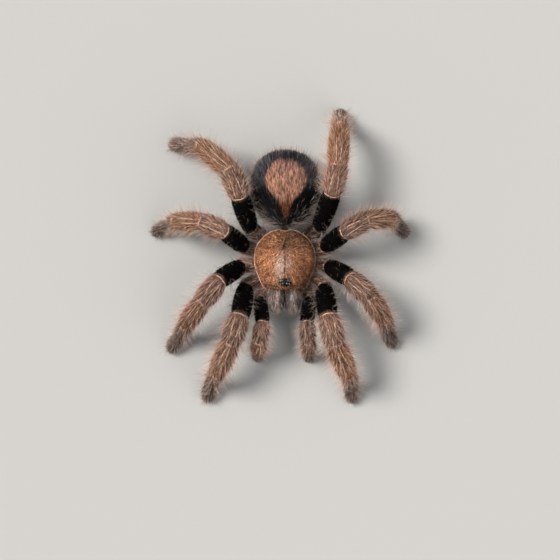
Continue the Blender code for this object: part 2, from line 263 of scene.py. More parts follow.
limbSizes = {  # each pinch is its depth and width, from the hip out
    "hipHeight": 4.9, "coxaTilt": 4, "toeRadius": 1.3, "toeFlat": 0.14, "lowest": 0.16,
    "tallness": 1.08, "coxaTallness": 0.93, "narrowing": {"metatarsus": (1.0, 0.9), "tarsus": (0.9, 0.7)},
    "pinches": ((0.07, 0.5), (0.06, 0.35), (0.08, 0.5), (0.10, 0.45), (0.05, 0.5)),
    "rowStep": 0.34, "columns": 34, "toeRows": 9,
}
limbProfiles = {  # place along each length and half-width out to the coat
    "coxa": ((0, 1.15), (0.45, 1.35), (0.8, 1.5), (1, 1.45)),
    "femur": ((0, 1.5), (0.2, 1.95), (0.5, 2.12), (0.82, 2.1), (1, 1.92)),
    "patella": ((0, 1.9), (0.25, 2.08), (0.66, 2.15), (1, 1.8)),
    "tibia": ((0, 1.78), (0.3, 1.96), (0.7, 1.84), (1, 1.48)),
    "metatarsus": ((0, 1.42), (0.35, 1.42), (1, 1.3)),
    "tarsus": ((0, 1.3), (0.35, 1.52), (0.7, 1.44), (1, 1.25)),
}
# display colour, share of cover, length factor, lift in degrees, standing hairs, velvet, coat depth
limbCoat = {
    "coxa": ((116, 88, 74), 1.0, 1.2, 28, 1.0, 0.0, 0.3),
    "femur": ((13, 10, 9), 0.0, 0.8, 30, 0.3, 1.0, 0.24),
    "patella": ((154, 116, 98), 1.0, 0.92, 12, 0.9, 0.0, 0.36),
    "tibia": ((162, 114, 85), 1.0, 1.0, 13, 1.0, 0.0, 0.38),
    "metatarsus": ((146, 115, 100), 1.0, 1.0, 15, 1.0, 0.0, 0.34),
    "tarsus": ((139, 118, 109), 1.0, 0.85, 20, 0.7, 0.0, 0.3),
}
# bald lines on top of a length: from and to along it, then how far out from its middle at each end
stripeSettings = {
    "lines": {"patella": (0.1, 0.86, 0.46, 0.3), "tibia": (0.08, 0.7, 0.24, 0.4)},
    "wire": 0.066, "standOut": 0.13, "tone": (206, 172, 150),
}
limbPaintedLight = {  # painted light and shade: how bright a limb's hair is against the others, set limb by limb as the light falls
    "leg_1_left": 1.28, "leg_4_left": 1.25, "leg_4_right": 0.92, "palp_right": 1.42, "palp_left": 0.85,
}


def turned(heading, tilt):
    a, b = math.radians(heading), math.radians(tilt)
    return np.array([math.cos(a) * math.cos(b), math.sin(a) * math.cos(b), math.sin(b)])


def limbCourse(limb):
    # the limb's joints from the body out, its foot on the floor
    kind, word = limb.rsplit("_", 1)
    innerEnd, hipPlace, lengths, girth, _ = limbKinds[kind]
    headings, tilts = limbStance[limb]
    toeRadius = limbSizes["toeRadius"] * girth
    drop = limbSizes["hipHeight"] - (toeRadius - limbSizes["toeFlat"])
    for length, tilt in zip([*lengths[:-2], lengths[-1] - toeRadius], tilts):
        drop += length * math.sin(math.radians(tilt))
    tilts = [*tilts[:-1], -math.degrees(math.asin(drop / lengths[-2])), tilts[-1]]
    side = 1 if word == "left" else -1
    hip, root = (np.array([x * side, y, limbSizes["hipHeight"]]) for x, y in (hipPlace, innerEnd))
    coxa = hip - root
    first = turned(math.degrees(math.atan2(coxa[1], coxa[0])), limbSizes["coxaTilt"])
    joints = [hip - first * np.linalg.norm(coxa), hip]
    for heading, tilt, length in zip(headings, tilts, lengths):
        joints.append(joints[-1] + turned(heading, tilt) * length)
    return kind, joints


def limbRows(girth, joints):
    # from the coxa to the tip of the toe: middle, half-width, narrowing, share of the length and its name
    path, radii, narrowing, places, names = [], [], [], [], []
    lengthNames = [name for name in limbProfiles if len(joints) == 7 or name != "metatarsus"]
    for name, start, end in zip(lengthNames, joints, joints[1:]):
        length = np.linalg.norm(end - start)
        coatDepth = limbCoat[name][6] * (0.5 + 0.5 * girth)
        shares = np.linspace(0, 1, max(3, int(round(length / limbSizes["rowStep"]))), endpoint=False)
        toe, straight = limbSizes["toeRadius"] * girth - coatDepth, length
        if name == "tarsus":
            straight = length - limbSizes["toeRadius"] * girth
            bend = np.radians(np.linspace(0, 89, limbSizes["toeRows"]))
            shares = np.arange(0, straight, limbSizes["rowStep"])
            shares = np.concatenate([shares, straight + toe * np.sin(bend)]) / length
        halves = readOff(limbProfiles[name], shares) * girth - coatDepth
        past = shares * length - straight
        halves = np.where(past > 0, toe * np.sqrt(np.maximum(1 - (past / toe) ** 2, 0.0004)), halves)
        path.append(start + (end - start) * shares[:, None])
        radii.append(halves)
        narrowing.append(np.interp(shares, [0, 1], limbSizes["narrowing"].get(name, (1, 1))))
        places.append(shares)
        names += [name] * len(shares)
    return [np.concatenate(v) for v in (path, radii, narrowing, places)], np.array(names)


def makeLimbBed(limb):
    kind, joints = limbCourse(limb)
    girth, coxaTone = limbKinds[kind][3:]
    (path, radii, narrowing, places), names = limbRows(girth, joints)
    fromToe = len(path) - limbSizes["toeRows"] - np.arange(len(path))
    softened = blurRows(path, 1.7)
    softened[0] = path[0]
    keep = np.clip(fromToe / 6, 0, 1)[:, None]
    path = softened * keep + path * (1 - keep)
    radii = np.where(fromToe > 0, blurRows(radii, 1.1), radii)
    travelled = np.concatenate([[0], np.cumsum(np.linalg.norm(np.diff(path, axis=0), axis=1))])
    starts = np.flatnonzero(names[1:] != names[:-1]) + 1
    for start, (pinch, width) in zip(starts, limbSizes["pinches"]):
        radii = radii * (1 - pinch * bell(travelled, travelled[start], width))
    tangents = unit(np.gradient(path, axis=0))
    across = unit(np.cross(tangents, [0, 0, 1]))
    up = np.cross(across, tangents)
    tallness = np.where(names == "coxa", limbSizes["coxaTallness"], limbSizes["tallness"])
    tallness = blurRows(tallness, 2)
    columns = limbSizes["columns"]
    turn = around(columns) - math.pi / 2      # seam underneath
    rings = sweep(path, across, up, radii * blurRows(narrowing, 1.5), radii * tallness, turn)
    rings[..., 2] = np.maximum(rings[..., 2], limbSizes["lowest"])
    bed = Bed(limb, rings, lie=np.repeat(tangents[:, None], columns, 1))
    upness, sideness = (np.repeat(v[None], len(path), 0) for v in (np.sin(turn), np.cos(turn)))
    outness = smoothStep(0.5, 1.0, np.abs(sideness))

    def spread(values):
        return np.asarray(values, float)[:, None] * np.ones((1, columns))

    def on(*wanted):
        return spread(np.isin(names, wanted))

    bed.cover, bed.reach, bed.lift, bed.bristly, bed.velvet = (
        spread([limbCoat[name][k] for name in names]) for k in range(1, 6))
    colours = np.array([linear(*limbCoat[name][0]) for name in names])
    crisp = np.isin(names, ("femur", "patella"))[:, None]
    colours = np.where(crisp, colours, blurRows(colours, 1.4))
    colours *= np.where(names == "coxa", coxaTone, limbPaintedLight.get(limb, 1.0))[:, None]
    bed.tone = np.repeat(colours[:, None], columns, 1)
    furry, share = 1 - on("coxa", "femur"), spread(places)
    stripes = np.zeros_like(share)
    for name, (start, end, near, far) in stripeSettings["lines"].items():
        place = near + (far - near) * np.clip((share - start) / (end - start), 0, 1)
        inside = smoothStep(start - 0.06, start + 0.06, share) * smoothStep(end + 0.06, end - 0.06, share)
        stripes += bell(np.abs(sideness), place, 0.11) * inside * on(name)
    stripes *= smoothStep(0.1, 0.4, upness)
    underneath = smoothStep(0.1, -0.7, upness)
    soles = on("tarsus", "metatarsus") * underneath
    bed.tint(linear(*stripeSettings["tone"]), 0.6 * stripes)
    # lengthwise bands, patches, then darker below and towards the tip of the foot
    bed.shade(1 + 0.14 * np.cos(sideness * 2 * math.pi / 0.36) * smoothStep(-0.1, 0.3, upness) * furry)
    bed.shade(np.exp(np.where(on("coxa") > 0, 1.0, 0.22) * ripple(bed.points, 1.5, 3.0)))
    bed.shade(1 - 0.45 * underneath * furry)
    bed.shade(1 - 0.12 * on("tarsus") * smoothStep(0.25, 0.9, share))
    bed.cover = bed.cover * (1 - 0.75 * stripes)
    bed.lift = bed.lift + 38 * soles + 26 * outness * furry
    bed.reach = blurRows(bed.reach, 1.2) * (0.55 + 0.45 * girth)
    bed.reach = bed.reach * (1 + 0.14 * outness * furry) * (1 - 0.55 * soles)
    bed.bristly = bed.bristly * (1 - 0.8 * underneath)
    bed.bristly = bed.bristly * (0.25 + 0.75 * smoothStep(0.3, 0.95, np.abs(sideness)))
    bed.names, bed.girth, bed.path, bed.radii, bed.tall = names, girth, path, radii, tallness
    bed.tangents, bed.across, bed.up = tangents, across, up
    return bed


carapaceSizes = {
    "halfWidth": 6.33, "halfLength": 6.4, "underside": 6.5, "rim": 0.45, "thoraxTop": 9.2, "headTop": 9.9,
    "roundness": 1.03, "squareness": 0.62, "rearPower": 0.86, "frontPower": 0.98, "notch": 0.07,
    "coatDepth": 0.16,
}
foveaY = 2.75
# by heading from the front in degrees: how deep or how pale, then how wide in degrees
grooves = {28: (0.17, 5.5), 62: (0.10, 6), 94: (0.10, 7), 128: (0.10, 8)}
paleRays = {25: (1.0, 3.5), 43: (0.8, 4), 66: (0.5, 5), 97: (0.4, 6), 130: (0.3, 7)}
carapaceColours = {
    # the fourth colour is a painted sheen, light glancing off the hairs on the head
    "base": (186, 117, 72), "paler": (230, 174, 128), "darker": (72, 34, 15), "paintedSheen": (246, 214, 198),
    # the groove colour paints shade into the pit and the crease, and draws the midline
    "groove": (48, 28, 18), "mound": (7, 5, 5),
}
eyeSizes = {  # out, along and up from the middle of the mound, radius, stretch
    "front_middle": (0.44, -0.3, 0.42, 0.27, (1, 1, 1)),
    "front_side": (0.92, -0.42, 0.16, 0.22, (1.05, 1.2, 0.95)),
    "rear_side": (0.92, 0.18, 0.2, 0.2, (0.95, 1.25, 0.95)),
    "rear_middle": (0.5, 0.3, 0.42, 0.15, (0.9, 1.2, 0.9)),
}
tubercle = {"centre": (0, -4.75, 9.62), "halfSize": (1.2, 0.85, 0.62), "darkReach": (1.28, 0.86)}


def carapacePoint(x, y, height):
    # the dome above a point of the unit disc; height is the point's height on a unit ball
    sizes = carapaceSizes
    reach = np.clip(np.hypot(x, y), 1e-6, 1)
    across, along = x / reach, y / reach
    roundness = sizes["roundness"] - sizes["squareness"] * smoothStep(0.3, 1.0, np.maximum(-along, 0))
    notch = np.where(along > 0, sizes["notch"] * bell(across, 0, 0.16), 0)
    power = np.where(along > 0, sizes["rearPower"], sizes["frontPower"])
    px = signedPower(across, roundness) * sizes["halfWidth"] * reach
    py = (signedPower(along, power) - notch) * sizes["halfLength"] * reach
    head = smoothStep(1.5, -2.8, py) * (1 - smoothStep(2.4, 5.4, np.abs(px)))
    top = sizes["thoraxTop"] + (sizes["headTop"] - sizes["thoraxTop"]) * head
    rim = sizes["underside"] + sizes["rim"]
    return px, py, rim + (top - rim) * np.maximum(height, 0) ** (0.75 - 0.42 * head)


def fromFovea(x, y):
    # distance from the pit and heading in degrees, 0 straight forwards and 180 to the rear
    return np.hypot(x, y - foveaY), np.degrees(np.arctan2(np.abs(x), -(y - foveaY)))


def rays(heading, table):
    return sum(amount * bell(heading, middle, width) for middle, (amount, width) in table.items())


def crease(x, y, width, inner, outer):
    # the fold behind the front edge, between two distances from the middle
    fold = bell(y, -5.72 + 0.03 * x ** 2, width)
    return fold * smoothStep(0.9, inner, np.abs(x)) * smoothStep(*outer, np.abs(x))


def carapaceRelief(x, y):
    # how far the plate sinks or rises
    fromPit, heading = fromFovea(x, y)
    pit = -0.34 * bell(x, 0, 0.62) * bell(y, foveaY, 0.42)
    radial = rays(heading, grooves) * smoothStep(0.5, 1.4, fromPit) * smoothStep(6.4, 4.2, fromPit)
    midline = -0.09 * bell(x, 0, 0.16) * smoothStep(-2.6, -0.6, y) * smoothStep(2.6, 1.6, y)
    cheeks = 0.10 * bell(np.abs(x), 1.5, 1.3) * smoothStep(1.0, -2.0, y) * smoothStep(-5.6, -4.0, y)
    return pit - radial + midline + cheeks - 0.2 * crease(x, y, 0.26, 1.5, (4.6, 3.9))


def frontFine(columns):
    # turns from the rear round to the rear, closest together at the front, where the outline is squarest
    return 1.5 * math.pi + math.pi * signedPower(np.linspace(-1, 1, columns), 2.1)


def makeCarapaceGrid(rows=72, columns=261):
    # from the crown out to the rim
    turn = frontFine(columns)
    reach = np.sin(np.linspace(0.012, math.pi / 2, rows))[:, None] * np.ones((1, columns))
    height = np.sqrt(np.maximum(1 - reach ** 2, 0))
    px, py, pz = carapacePoint(reach * np.cos(turn), reach * np.sin(turn), height)
    pz = pz - carapaceSizes["coatDepth"] + carapaceRelief(px, py) * smoothStep(1.0, 0.93, reach)
    (cx, cy, cz), (hx, hy, hz) = tubercle["centre"], tubercle["halfSize"]
    inside = 1 - np.abs((px - cx) / hx) ** 2.4 - np.abs((py - cy) / hy) ** 2.4
    top = cz - 0.2 + hz * np.sqrt(np.maximum(inside, 0))
    pz = np.where(top > pz, pz + (top - pz) * smoothStep(0.0, 0.35, inside), pz)
    return np.stack([px, py, pz], -1)


def mound(x, y, grown=1.0):
    # 1 on the dark eye mound, 0 off it
    reachX, reachY = tubercle["darkReach"]
    away = np.hypot(x / reachX, (y - tubercle["centre"][1] + 0.05) / reachY)
    return smoothStep(1.16, 0.96, away / grown)


def carapaceTone(x, y):
    base, paler, darker, paintedSheen, groove, dark = (linear(*value) for value in carapaceColours.values())
    flat = np.stack([x, y, 0 * x], -1)
    fromPit, heading = fromFovea(x, y)
    rear = smoothStep(0.2, 4.4, y) * 0.85      # darker behind
    tone = tinted(np.zeros((*x.shape, 3)) + base, darker, rear)
    turn = np.degrees(np.arctan2(x, -(y - foveaY)))
    streak = ripple(np.stack([turn * 0.22, fromPit * 0.5, 0 * x], -1), 1.0, 5.0)
    speckle = 0.6 * ripple(flat, 2.4, 9.0) + 0.9 * ripple(flat, 4.6, 17.0) + 1.1 * ripple(flat, 8.8, 29.0)
    mottle = 0.7 * streak * smoothStep(0.3, 1.6, fromPit) + speckle
    tone = tinted(tone, paler, np.clip(1.1 * mottle, 0, 0.9))
    tone = tinted(tone, darker, np.clip(-1.4 * mottle, 0, 0.9))
    bright = rays(heading, paleRays) * smoothStep(0.6, 1.6, fromPit) * smoothStep(6.6, 4.8, fromPit)
    tone = tinted(tone, paler, 0.6 * (bright * (1 - rear)))
    tone = tinted(tone, darker, 0.3 * smoothStep(4.6, 6.2, np.hypot(x, y * 1.04)))
    # the painted sheen on the head, then the pit, midline and crease, then the eye mound
    # painted sheen: pale pink light glancing off the hairs on the head
    face = bell(x, 0.12 * y - 0.75, 1.05) * bell(y, -1.2, 2.5)
    face = (face + 0.45 * bell(x, 0.95, 0.6) * bell(y, -0.6, 2.0)) * (1 + 0.9 * speckle)
    tone = tinted(tone, paintedSheen, np.clip(0.95 * face, 0, 1))
    tone = tone * (1 - 0.28 * np.tanh((x - 0.2) / 2.0))[..., None]      # painted light and shade: paler on the spider's right, darker on its left
    tone = tone * (1 - rear[..., None] * [0.16, 0.3, 0.38])
    # painted shade: darker still towards the spider's left edge
    tone = tone * (1 - smoothStep(0.6, 3.5, x)[..., None] * [0.06, 0.18, 0.26])
    line = bell(x, -0.07 * np.sin(1.9 * y), 0.15 + 0.05 * np.sin(2.7 * y))
    line = line * smoothStep(-4.4, -3.4, y) * smoothStep(5.6, 3.4, y)
    pit = bell(x, 0, 0.6) * bell(y, foveaY, 0.7)
    # painted shade: the pit and the crease are darkened with the groove colour; the midline is a dark line of
    # that colour
    lines = 0.85 * pit + 0.84 * line + 0.85 * crease(x, y, 0.2, 1.4, (4.8, 4.2))
    return tinted(tinted(tone, groove, np.clip(lines, 0, 0.93)), dark, mound(x, y, 0.98))


def makeCarapaceBed():
    bed = Bed("carapace", makeCarapaceGrid())
    x, y = bed.points[..., 0], bed.points[..., 1]
    bed.layAlong(np.stack([x, y - foveaY, np.zeros_like(x)], -1))
    bed.tone = carapaceTone(x, y)
    rim = smoothStep(0.86, 0.97, np.sin(bed.rowShare * math.pi / 2))
    eyes = mound(x, y, 0.84)
    bed.cover = 1 - 0.7 * eyes
    for across, along, _, radius, _ in eyeSizes.values():
        for side in sides:
            away = np.hypot(x - across * side, y - tubercle["centre"][1] - along)
            bed.cover = bed.cover * (1 - np.exp(-(away / (radius + 0.16)) ** 6))
    bed.reach = np.clip(0.5 - 0.22 * rim - 0.2 * eyes, 0.2, 1)
    bed.lift = 11 + 6 * rim + 8 * eyes
    bed.bristly = np.clip(0.12 * rim + 0.05 + 0.3 * bell(y, -3.4, 1.0) * bell(x, 0, 1.8), 0, 1)
    return bed


abdomenSizes = {
    "centre": np.array([0.1, 15.0, 6.95]), "half": np.array([7.35, 8.35, 5.85]), "coatDepth": 0.55,
    "rows": 74, "columns": 101, "squareness": 0.97, "bellyDepth": 0.93, "lungs": (-4.9, -2.2),
}
abdomenColours = {
    # the bluish colour is a painted sheen on the black flanks
    "black": (14, 11, 11), "bluishSheen": (96, 91, 97), "belly": (58, 46, 40), "lungs": (150, 118, 96),
    "patch": (172, 127, 105), "patchMiddle": (188, 143, 122), "patchTail": (98, 56, 33),
}
patchOutline = (  # distance rearward from the middle and half-width of the pale shield there
    (-6.1, 0.0), (-5.2, 0.6), (-3.9, 1.0), (-2.35, 1.6), (-0.8, 3.1), (0.46, 4.05), (2.0, 4.25), (3.8, 3.7),
    (5.05, 2.7), (5.8, 1.5), (6.1, 0.0),
)


def patchMask(dx, dy):
    # 1 inside the shield; dx across, dy rearward from the middle of the abdomen
    edge = readOff(patchOutline, dy) - np.abs(dx - 0.1)
    notch = 0.2 * bell(dx, 0.3, 0.5)
    return smoothStep(-0.28, 0.28, np.minimum(edge, 5.9 - notch - dy))


def makeAbdomenBed():
    sizes, tones = abdomenSizes, {name: linear(*value) for name, value in abdomenColours.items()}
    polar = np.linspace(0.02, math.pi - 0.02, sizes["rows"])[:, None]
    turn = around(sizes["columns"])[None] - math.pi / 2
    ux, uz = np.sin(polar) * np.cos(turn), np.sin(polar) * np.sin(turn)
    uy = -np.cos(polar) * np.ones_like(turn)
    half = sizes["half"] - sizes["coatDepth"]
    x = signedPower(ux, sizes["squareness"]) * (1 + 0.06 * uy) * half[0]
    y = signedPower(uy, sizes["squareness"]) * half[1]
    local = np.stack([x, y, uz * np.where(uz < 0, sizes["bellyDepth"], 1.0) * half[2]], -1)
    swell = 1 + 0.012 * ripple(local, 0.45, 3.1)
    bed = Bed("abdomen", local * swell[..., None] + sizes["centre"])
    bed.layAlong(np.stack([0 * ux, 1 + 0 * ux, -1.15 * smoothStep(-0.1, 1.0, uy) + 0 * ux], -1))
    above, below = smoothStep(-0.15, 0.2, uz), smoothStep(-0.3, -0.75, uz)
    outness, rear = smoothStep(0.2, 0.8, np.abs(ux)), smoothStep(0.2, 0.8, uy)
    mask = patchMask(x, y + 0.85) * above      # hairs carry the marking rearwards of their roots
    patchTone = tinted(tones["patch"], tones["patchMiddle"], bell(x, 0, 2.2) * bell(y, 2.0, 2.6))
    patchTone = tinted(patchTone, tones["patchTail"], smoothStep(-2.2, -4.8, y))
    bed.tone = tinted(tones["black"], patchTone, mask)
    # painted sheen: bluish grey over the black flanks, towards the rear
    bed.tint(tones["bluishSheen"], 0.6 * outness * (1 - mask) * above * smoothStep(-0.35, 0.3, uy))
    bed.shade(1 - 0.9 * smoothStep(0.2, -0.35, uy) * (1 - mask))      # painted shade: deepest black in front, where the abdomen curves down
    bed.shade(np.exp(0.4 * ripple(bed.points * [1.0, 0.3, 1.0], 5.2, 31.0) * mask))
    fromLungs = [((np.abs(x) - 2.7) / 1.35) ** 2 + ((y - place) / 0.9) ** 2 for place in sizes["lungs"]]
    lungs = sum(np.exp(-away ** 2) for away in fromLungs) * below
    bed.tint(tones["belly"], 0.65 * below)
    bed.tint(tones["lungs"], 0.8 * lungs)
    bed.cover = (1 - 0.45 * lungs) * (1 - 0.35 * below)
    bed.reach = 1.0 - 0.25 * below + 0.15 * rear
    bed.lift = 15 + 15 * smoothStep(0.3, 0.9, np.abs(ux))
    bed.bristly = np.clip(0.08 + 0.92 * bell(uz, 0.02, 0.3) + 0.25 * smoothStep(0.6, 0.95, uy), 0, 1)
    bed.bristly *= 1 - 0.7 * below
    bed.bristly *= 1 - 0.8 * smoothStep(0.35, 0.7, uz) * (1 - smoothStep(0.7, 0.95, uy))
    bed.bristly *= 1 - 0.45 * smoothStep(0.3, 0.8, uy)
    return bed


coreSettings = {  # the body under the carapace
    "centre": (0, 0.1, 4.9), "half": (3.9, 5.0, 1.72), "squareness": 0.8, "rows": 40, "columns": 61,
    "tone": (44, 33, 28), "upperTone": (92, 72, 60),
}


def ballGrid(centre, half, rows, columns, power=1.0):
    polar = np.linspace(0.03, math.pi - 0.03, rows)[:, None]
    turn = around(columns)[None]
    a = signedPower(np.sin(polar) * np.cos(turn), power)
    b = signedPower(np.sin(polar) * np.sin(turn), power)
    c = signedPower(-np.cos(polar) * np.ones_like(turn), power)
    return np.stack([a * half[0], c * half[1], b * half[2]], -1) + np.asarray(centre, float)


def makeCoreBed():
    core = coreSettings
    grid = ballGrid(core["centre"], core["half"], core["rows"], core["columns"], core["squareness"])
    bed = Bed("core", grid)
    bed.tone += linear(*core["tone"])
    bed.tint(linear(*core["upperTone"]), 0.8 * smoothStep(4.9, 6.2, bed.points[..., 2]))
    bed.fill(cover=0.9, reach=0.75, bristly=0.2)
    return bed


cheliceraSizes = {
    "length": 4.6, "halfWidth": 1.8, "halfHeight": 2.05, "height": 7.05, "startY": -6.0, "droop": 1.1,
    "inner": 0.9, "gap": 0.1, "squareness": 0.88, "coatDepth": 0.3, "tipFrom": 0.72, "tip": 0.28,
    "profile": ((0, 0.9), (0.15, 0.98), (0.38, 1.0), (0.6, 0.98), (0.72, 0.92)),
    "rows": 24, "tipRows": 14, "columns": 41,
}
cheliceraColours = {
    # the last colour is a painted highlight on a bald spot
    "dark": (22, 16, 13), "silver": (176, 152, 140), "brown": (128, 86, 60), "baldHighlight": (232, 220, 226),
}


def makeCheliceraBed(side):
    sizes = cheliceraSizes
    tipFrom, tip, rows = sizes["tipFrom"], sizes["tip"], sizes["rows"]
    tipSteps = np.sin(np.linspace(0.08, math.pi / 2 - 0.03, sizes["tipRows"]))
    forward = np.concatenate([np.linspace(-0.12, tipFrom, rows), tipFrom + tip * tipSteps])
    past = (forward[rows:] - tipFrom) / tip
    fullness = readOff(sizes["profile"], forward)
    fullness[rows:] = fullness[rows - 1] * np.maximum(1 - past ** 2, 0.002) ** 0.55
    fullness = np.where(np.arange(len(forward)) < rows, blurRows(fullness, 1.0), fullness)
    turn = around(sizes["columns"])[None] - math.pi / 2
    halfWidth = (sizes["halfWidth"] - sizes["coatDepth"]) * fullness[:, None]
    halfHeight = (sizes["halfHeight"] - sizes["coatDepth"]) * fullness[:, None]
    rootX = sizes["gap"] + sizes["halfWidth"] * sizes["inner"]
    x = signedPower(np.cos(turn), sizes["squareness"]) * halfWidth
    x = np.where(x * side < 0, x * ((rootX - 0.2) / (sizes["halfWidth"] - sizes["coatDepth"])), x)
    x = x - 0.08 * side * smoothStep(0.3, 1.0, forward)[:, None]      # the tips lean together
    y = -forward[:, None] * sizes["length"] * np.ones_like(turn)
    z = signedPower(np.sin(turn), sizes["squareness"]) * halfHeight
    z = z - sizes["droop"] * np.clip(forward, 0, 1)[:, None] ** 1.7
    grid = np.stack([x + rootX * side, y + sizes["startY"], z + sizes["height"]], -1)
    bed = Bed(f"chelicera_{sides[side]}", grid[:, ::side])
    middle = bed.points.mean(1, keepdims=True)
    height = unit(bed.points - middle)[..., 2]
    top = smoothStep(0.0, 0.75, height)
    share = forward[:, None] * np.ones_like(height)
    sideways = (bed.points - middle)[..., 0] * side
    dark, silver, brown, baldHighlight = (linear(*value) for value in cheliceraColours.values())
    bed.tone = tinted(dark, silver, top * (0.34 + 0.66 * bell(sideways, -0.05, 0.85)))
    bed.tint(brown, 0.75 * top * smoothStep(0.3, 0.12, share))
    # painted shade on the inner faces, a dark front line, streaks, then darker tips, painted shade at the
    # base under the carapace's edge, and a bald spot painted pale as a highlight
    bed.shade(1 - 0.75 * smoothStep(-0.35, -1.0, sideways))
    bed.shade(1 - 0.35 * bell(sideways, 0.1, 0.2) * smoothStep(0.45, 0.55, share))
    bed.shade(np.exp(1.6 * ripple(np.stack([sideways * 3.2, share * 2.2, 0 * share], -1), 1.0, 40.0 + side)))
    bed.shade(1 - 0.3 * smoothStep(0.7, 1.0, share))
    bed.shade(1 - 0.8 * smoothStep(0.1, 0.02, share))
    # bald spot with thinner hair, painted pale as a highlight
    bare = np.exp(-(((sideways + 0.25) / 0.3) ** 2 + ((share - 0.34) / 0.15) ** 2) ** 1.5) * (height > 0)
    bed.tint(baldHighlight, np.clip(1.1 * bare, 0, 1))
    bed.cover = 0.95 - 0.2 * bare
    bed.reach = 0.8 + 0.35 * smoothStep(0.55, 0.9, share)
    bed.lift = 13 + 4 * smoothStep(0.6, 0.95, share) + 8 * smoothStep(0.6, 1.2, sideways)
    bed.bristly = 0.2 + 0.8 * smoothStep(0.6, 0.9, share) + 0.35 * smoothStep(0.8, 1.3, sideways)
    return bed


spinneretSizes = {  # its path out of the abdomen, half-width at each step, where its joints are, tip rounding
    "path": ((0.7, 18.7, 4.7), (0.78, 19.5, 3.45), (0.9, 20.4, 2.62), (1.02, 21.2, 2.5), (1.16, 21.9, 2.7),
             (1.3, 22.6, 3.1)),
    "halfWidths": (0.75, 0.66, 0.56, 0.5, 0.42, 0.34), "joints": (0.46, 0.72), "tip": 0.07, "rows": 34,
    "tone": (84, 64, 52),
}


def makeSpinneretBed(side):
    sizes = spinneretSizes
    tip, rows = sizes["tip"], sizes["rows"]
    tipSteps = 1 - tip * (1 - np.sin(np.linspace(0.15, 1.54, 7)))
    steps = np.concatenate([np.linspace(0, 1 - tip, rows), tipSteps])
    knots = np.linspace(0, 1, len(sizes["path"]))
    path = np.stack([np.interp(steps, knots, column) for column in np.array(sizes["path"]).T], -1)
    ends = path[[0, -1]]
    path = blurRows(path, 2.4)
    path[[0, -1]] = ends
    path = path * [side, 1, 1] + [abdomenSizes["centre"][0], 0, 0]
    half = np.interp(steps, knots, sizes["halfWidths"])
    half *= 1 - sum(0.16 * bell(steps, joint, 0.022) for joint in sizes["joints"])
    past = (steps[rows:] - steps[rows - 1]) / tip
    half[rows:] = half[rows - 1] * np.sqrt(np.maximum(1 - past ** 2, 0.003))
    tangents = unit(np.gradient(path, axis=0))
    across = unit(np.cross(tangents, [1.0, 0, 0]))
    turn = around(25)
    bed = Bed(f"spinneret_{sides[side]}", sweep(path, across, np.cross(across, tangents), half, half, turn))
    bed.tone += linear(*sizes["tone"])
    bed.fill(lift=16.0, cover=0.0, velvet=1.0)
    return bed


limbBeds = {limb: makeLimbBed(limb) for limb in limbStance}
carapaceBed, abdomenBed, coreBed = makeCarapaceBed(), makeAbdomenBed(), makeCoreBed()
cheliceraBeds = [makeCheliceraBed(side) for side in sides]
spinneretBeds = [makeSpinneretBed(side) for side in sides]
skinBeds = [*limbBeds.values(), abdomenBed, coreBed, *cheliceraBeds, *spinneretBeds]
print("beds ready")


def addNode(tree, kind, settings=None, sockets=None):
    node = tree.nodes.new(kind)
    for name, value in (settings or {}).items():
        setattr(node, name, value)
    for name, value in (sockets or {}).items():
        source = value.socket if isinstance(value, Signal) else value
        if isinstance(source, bpy.types.NodeSocket):
            tree.links.new(source, node.inputs[name])
        else:
            node.inputs[name].default_value = source
    return node


class Signal:
    # one value, colour or vector inside a shader
    def __init__(self, tree, socket=None):
        self.tree, self.socket = tree, socket

    def node(self, kind, settings=None, sockets=None, output=0):
        return Signal(self.tree, addNode(self.tree, kind, settings, sockets).outputs[output])

    def math(self, operation, first, second=0.0):
        return self.node("ShaderNodeMath", {"operation": operation}, {0: first, 1: second})

    def __add__(self, other):
        return self.math("ADD", self, other)

    __radd__ = __add__

    def __sub__(self, other):
        return self.math("SUBTRACT", self, other)

    def __rsub__(self, other):
        return self.math("SUBTRACT", other, self)

    def __mul__(self, other):
        return self.math("MULTIPLY", self, other)

    __rmul__ = __mul__

    def __pow__(self, other):
        return self.math("POWER", self, other)

    def between(self, low, high):
        # 0 below low, 1 above high, smooth in the middle
        return self.node("ShaderNodeMapRange", {"interpolation_type": "SMOOTHSTEP", "clamp": True},
                         {"Value": self, "From Min": low, "From Max": high})

    def times(self, amount):
        # colour or vector scaled by a value
        return self.node("ShaderNodeVectorMath", {"operation": "SCALE"}, {0: self, "Scale": amount})

    def pick(self, first, second):
        # the first colour at 0, the second at 1
        return self.node("ShaderNodeMix", {"data_type": "RGBA"}, {0: self, 6: first, 7: second}, 2)

    def stored(self, name, output="Fac"):
        return self.node("ShaderNodeAttribute", {"attribute_name": name}, output=output)

    def cloud(self, scale, detail=2.0, roughness=0.5):
        # noise in the object's own space
        place = self.node("ShaderNodeTexCoord", output="Object")
        return self.node("ShaderNodeTexNoise", {},
                         {"Vector": place, "Scale": scale, "Detail": detail, "Roughness": roughness})


def newMaterial(name, **constants):
    # constants are set on the shader's own sockets; returns the material, its shader and a starting signal
    material = bpy.data.materials.new(name)
    material.use_nodes = True
    shader = material.node_tree.nodes["Principled BSDF"]
    for socketName, value in constants.items():
        shader.inputs[socketName.replace("_", " ")].default_value = value
    return material, shader, Signal(material.node_tree)


def feed(shader, **links):
    for socketName, signal in links.items():
        shader.id_data.links.new(signal.socket, shader.inputs[socketName.replace("_", " ")])


def colour(red, green, blue):
    return (*linear(red, green, blue), 1.0)


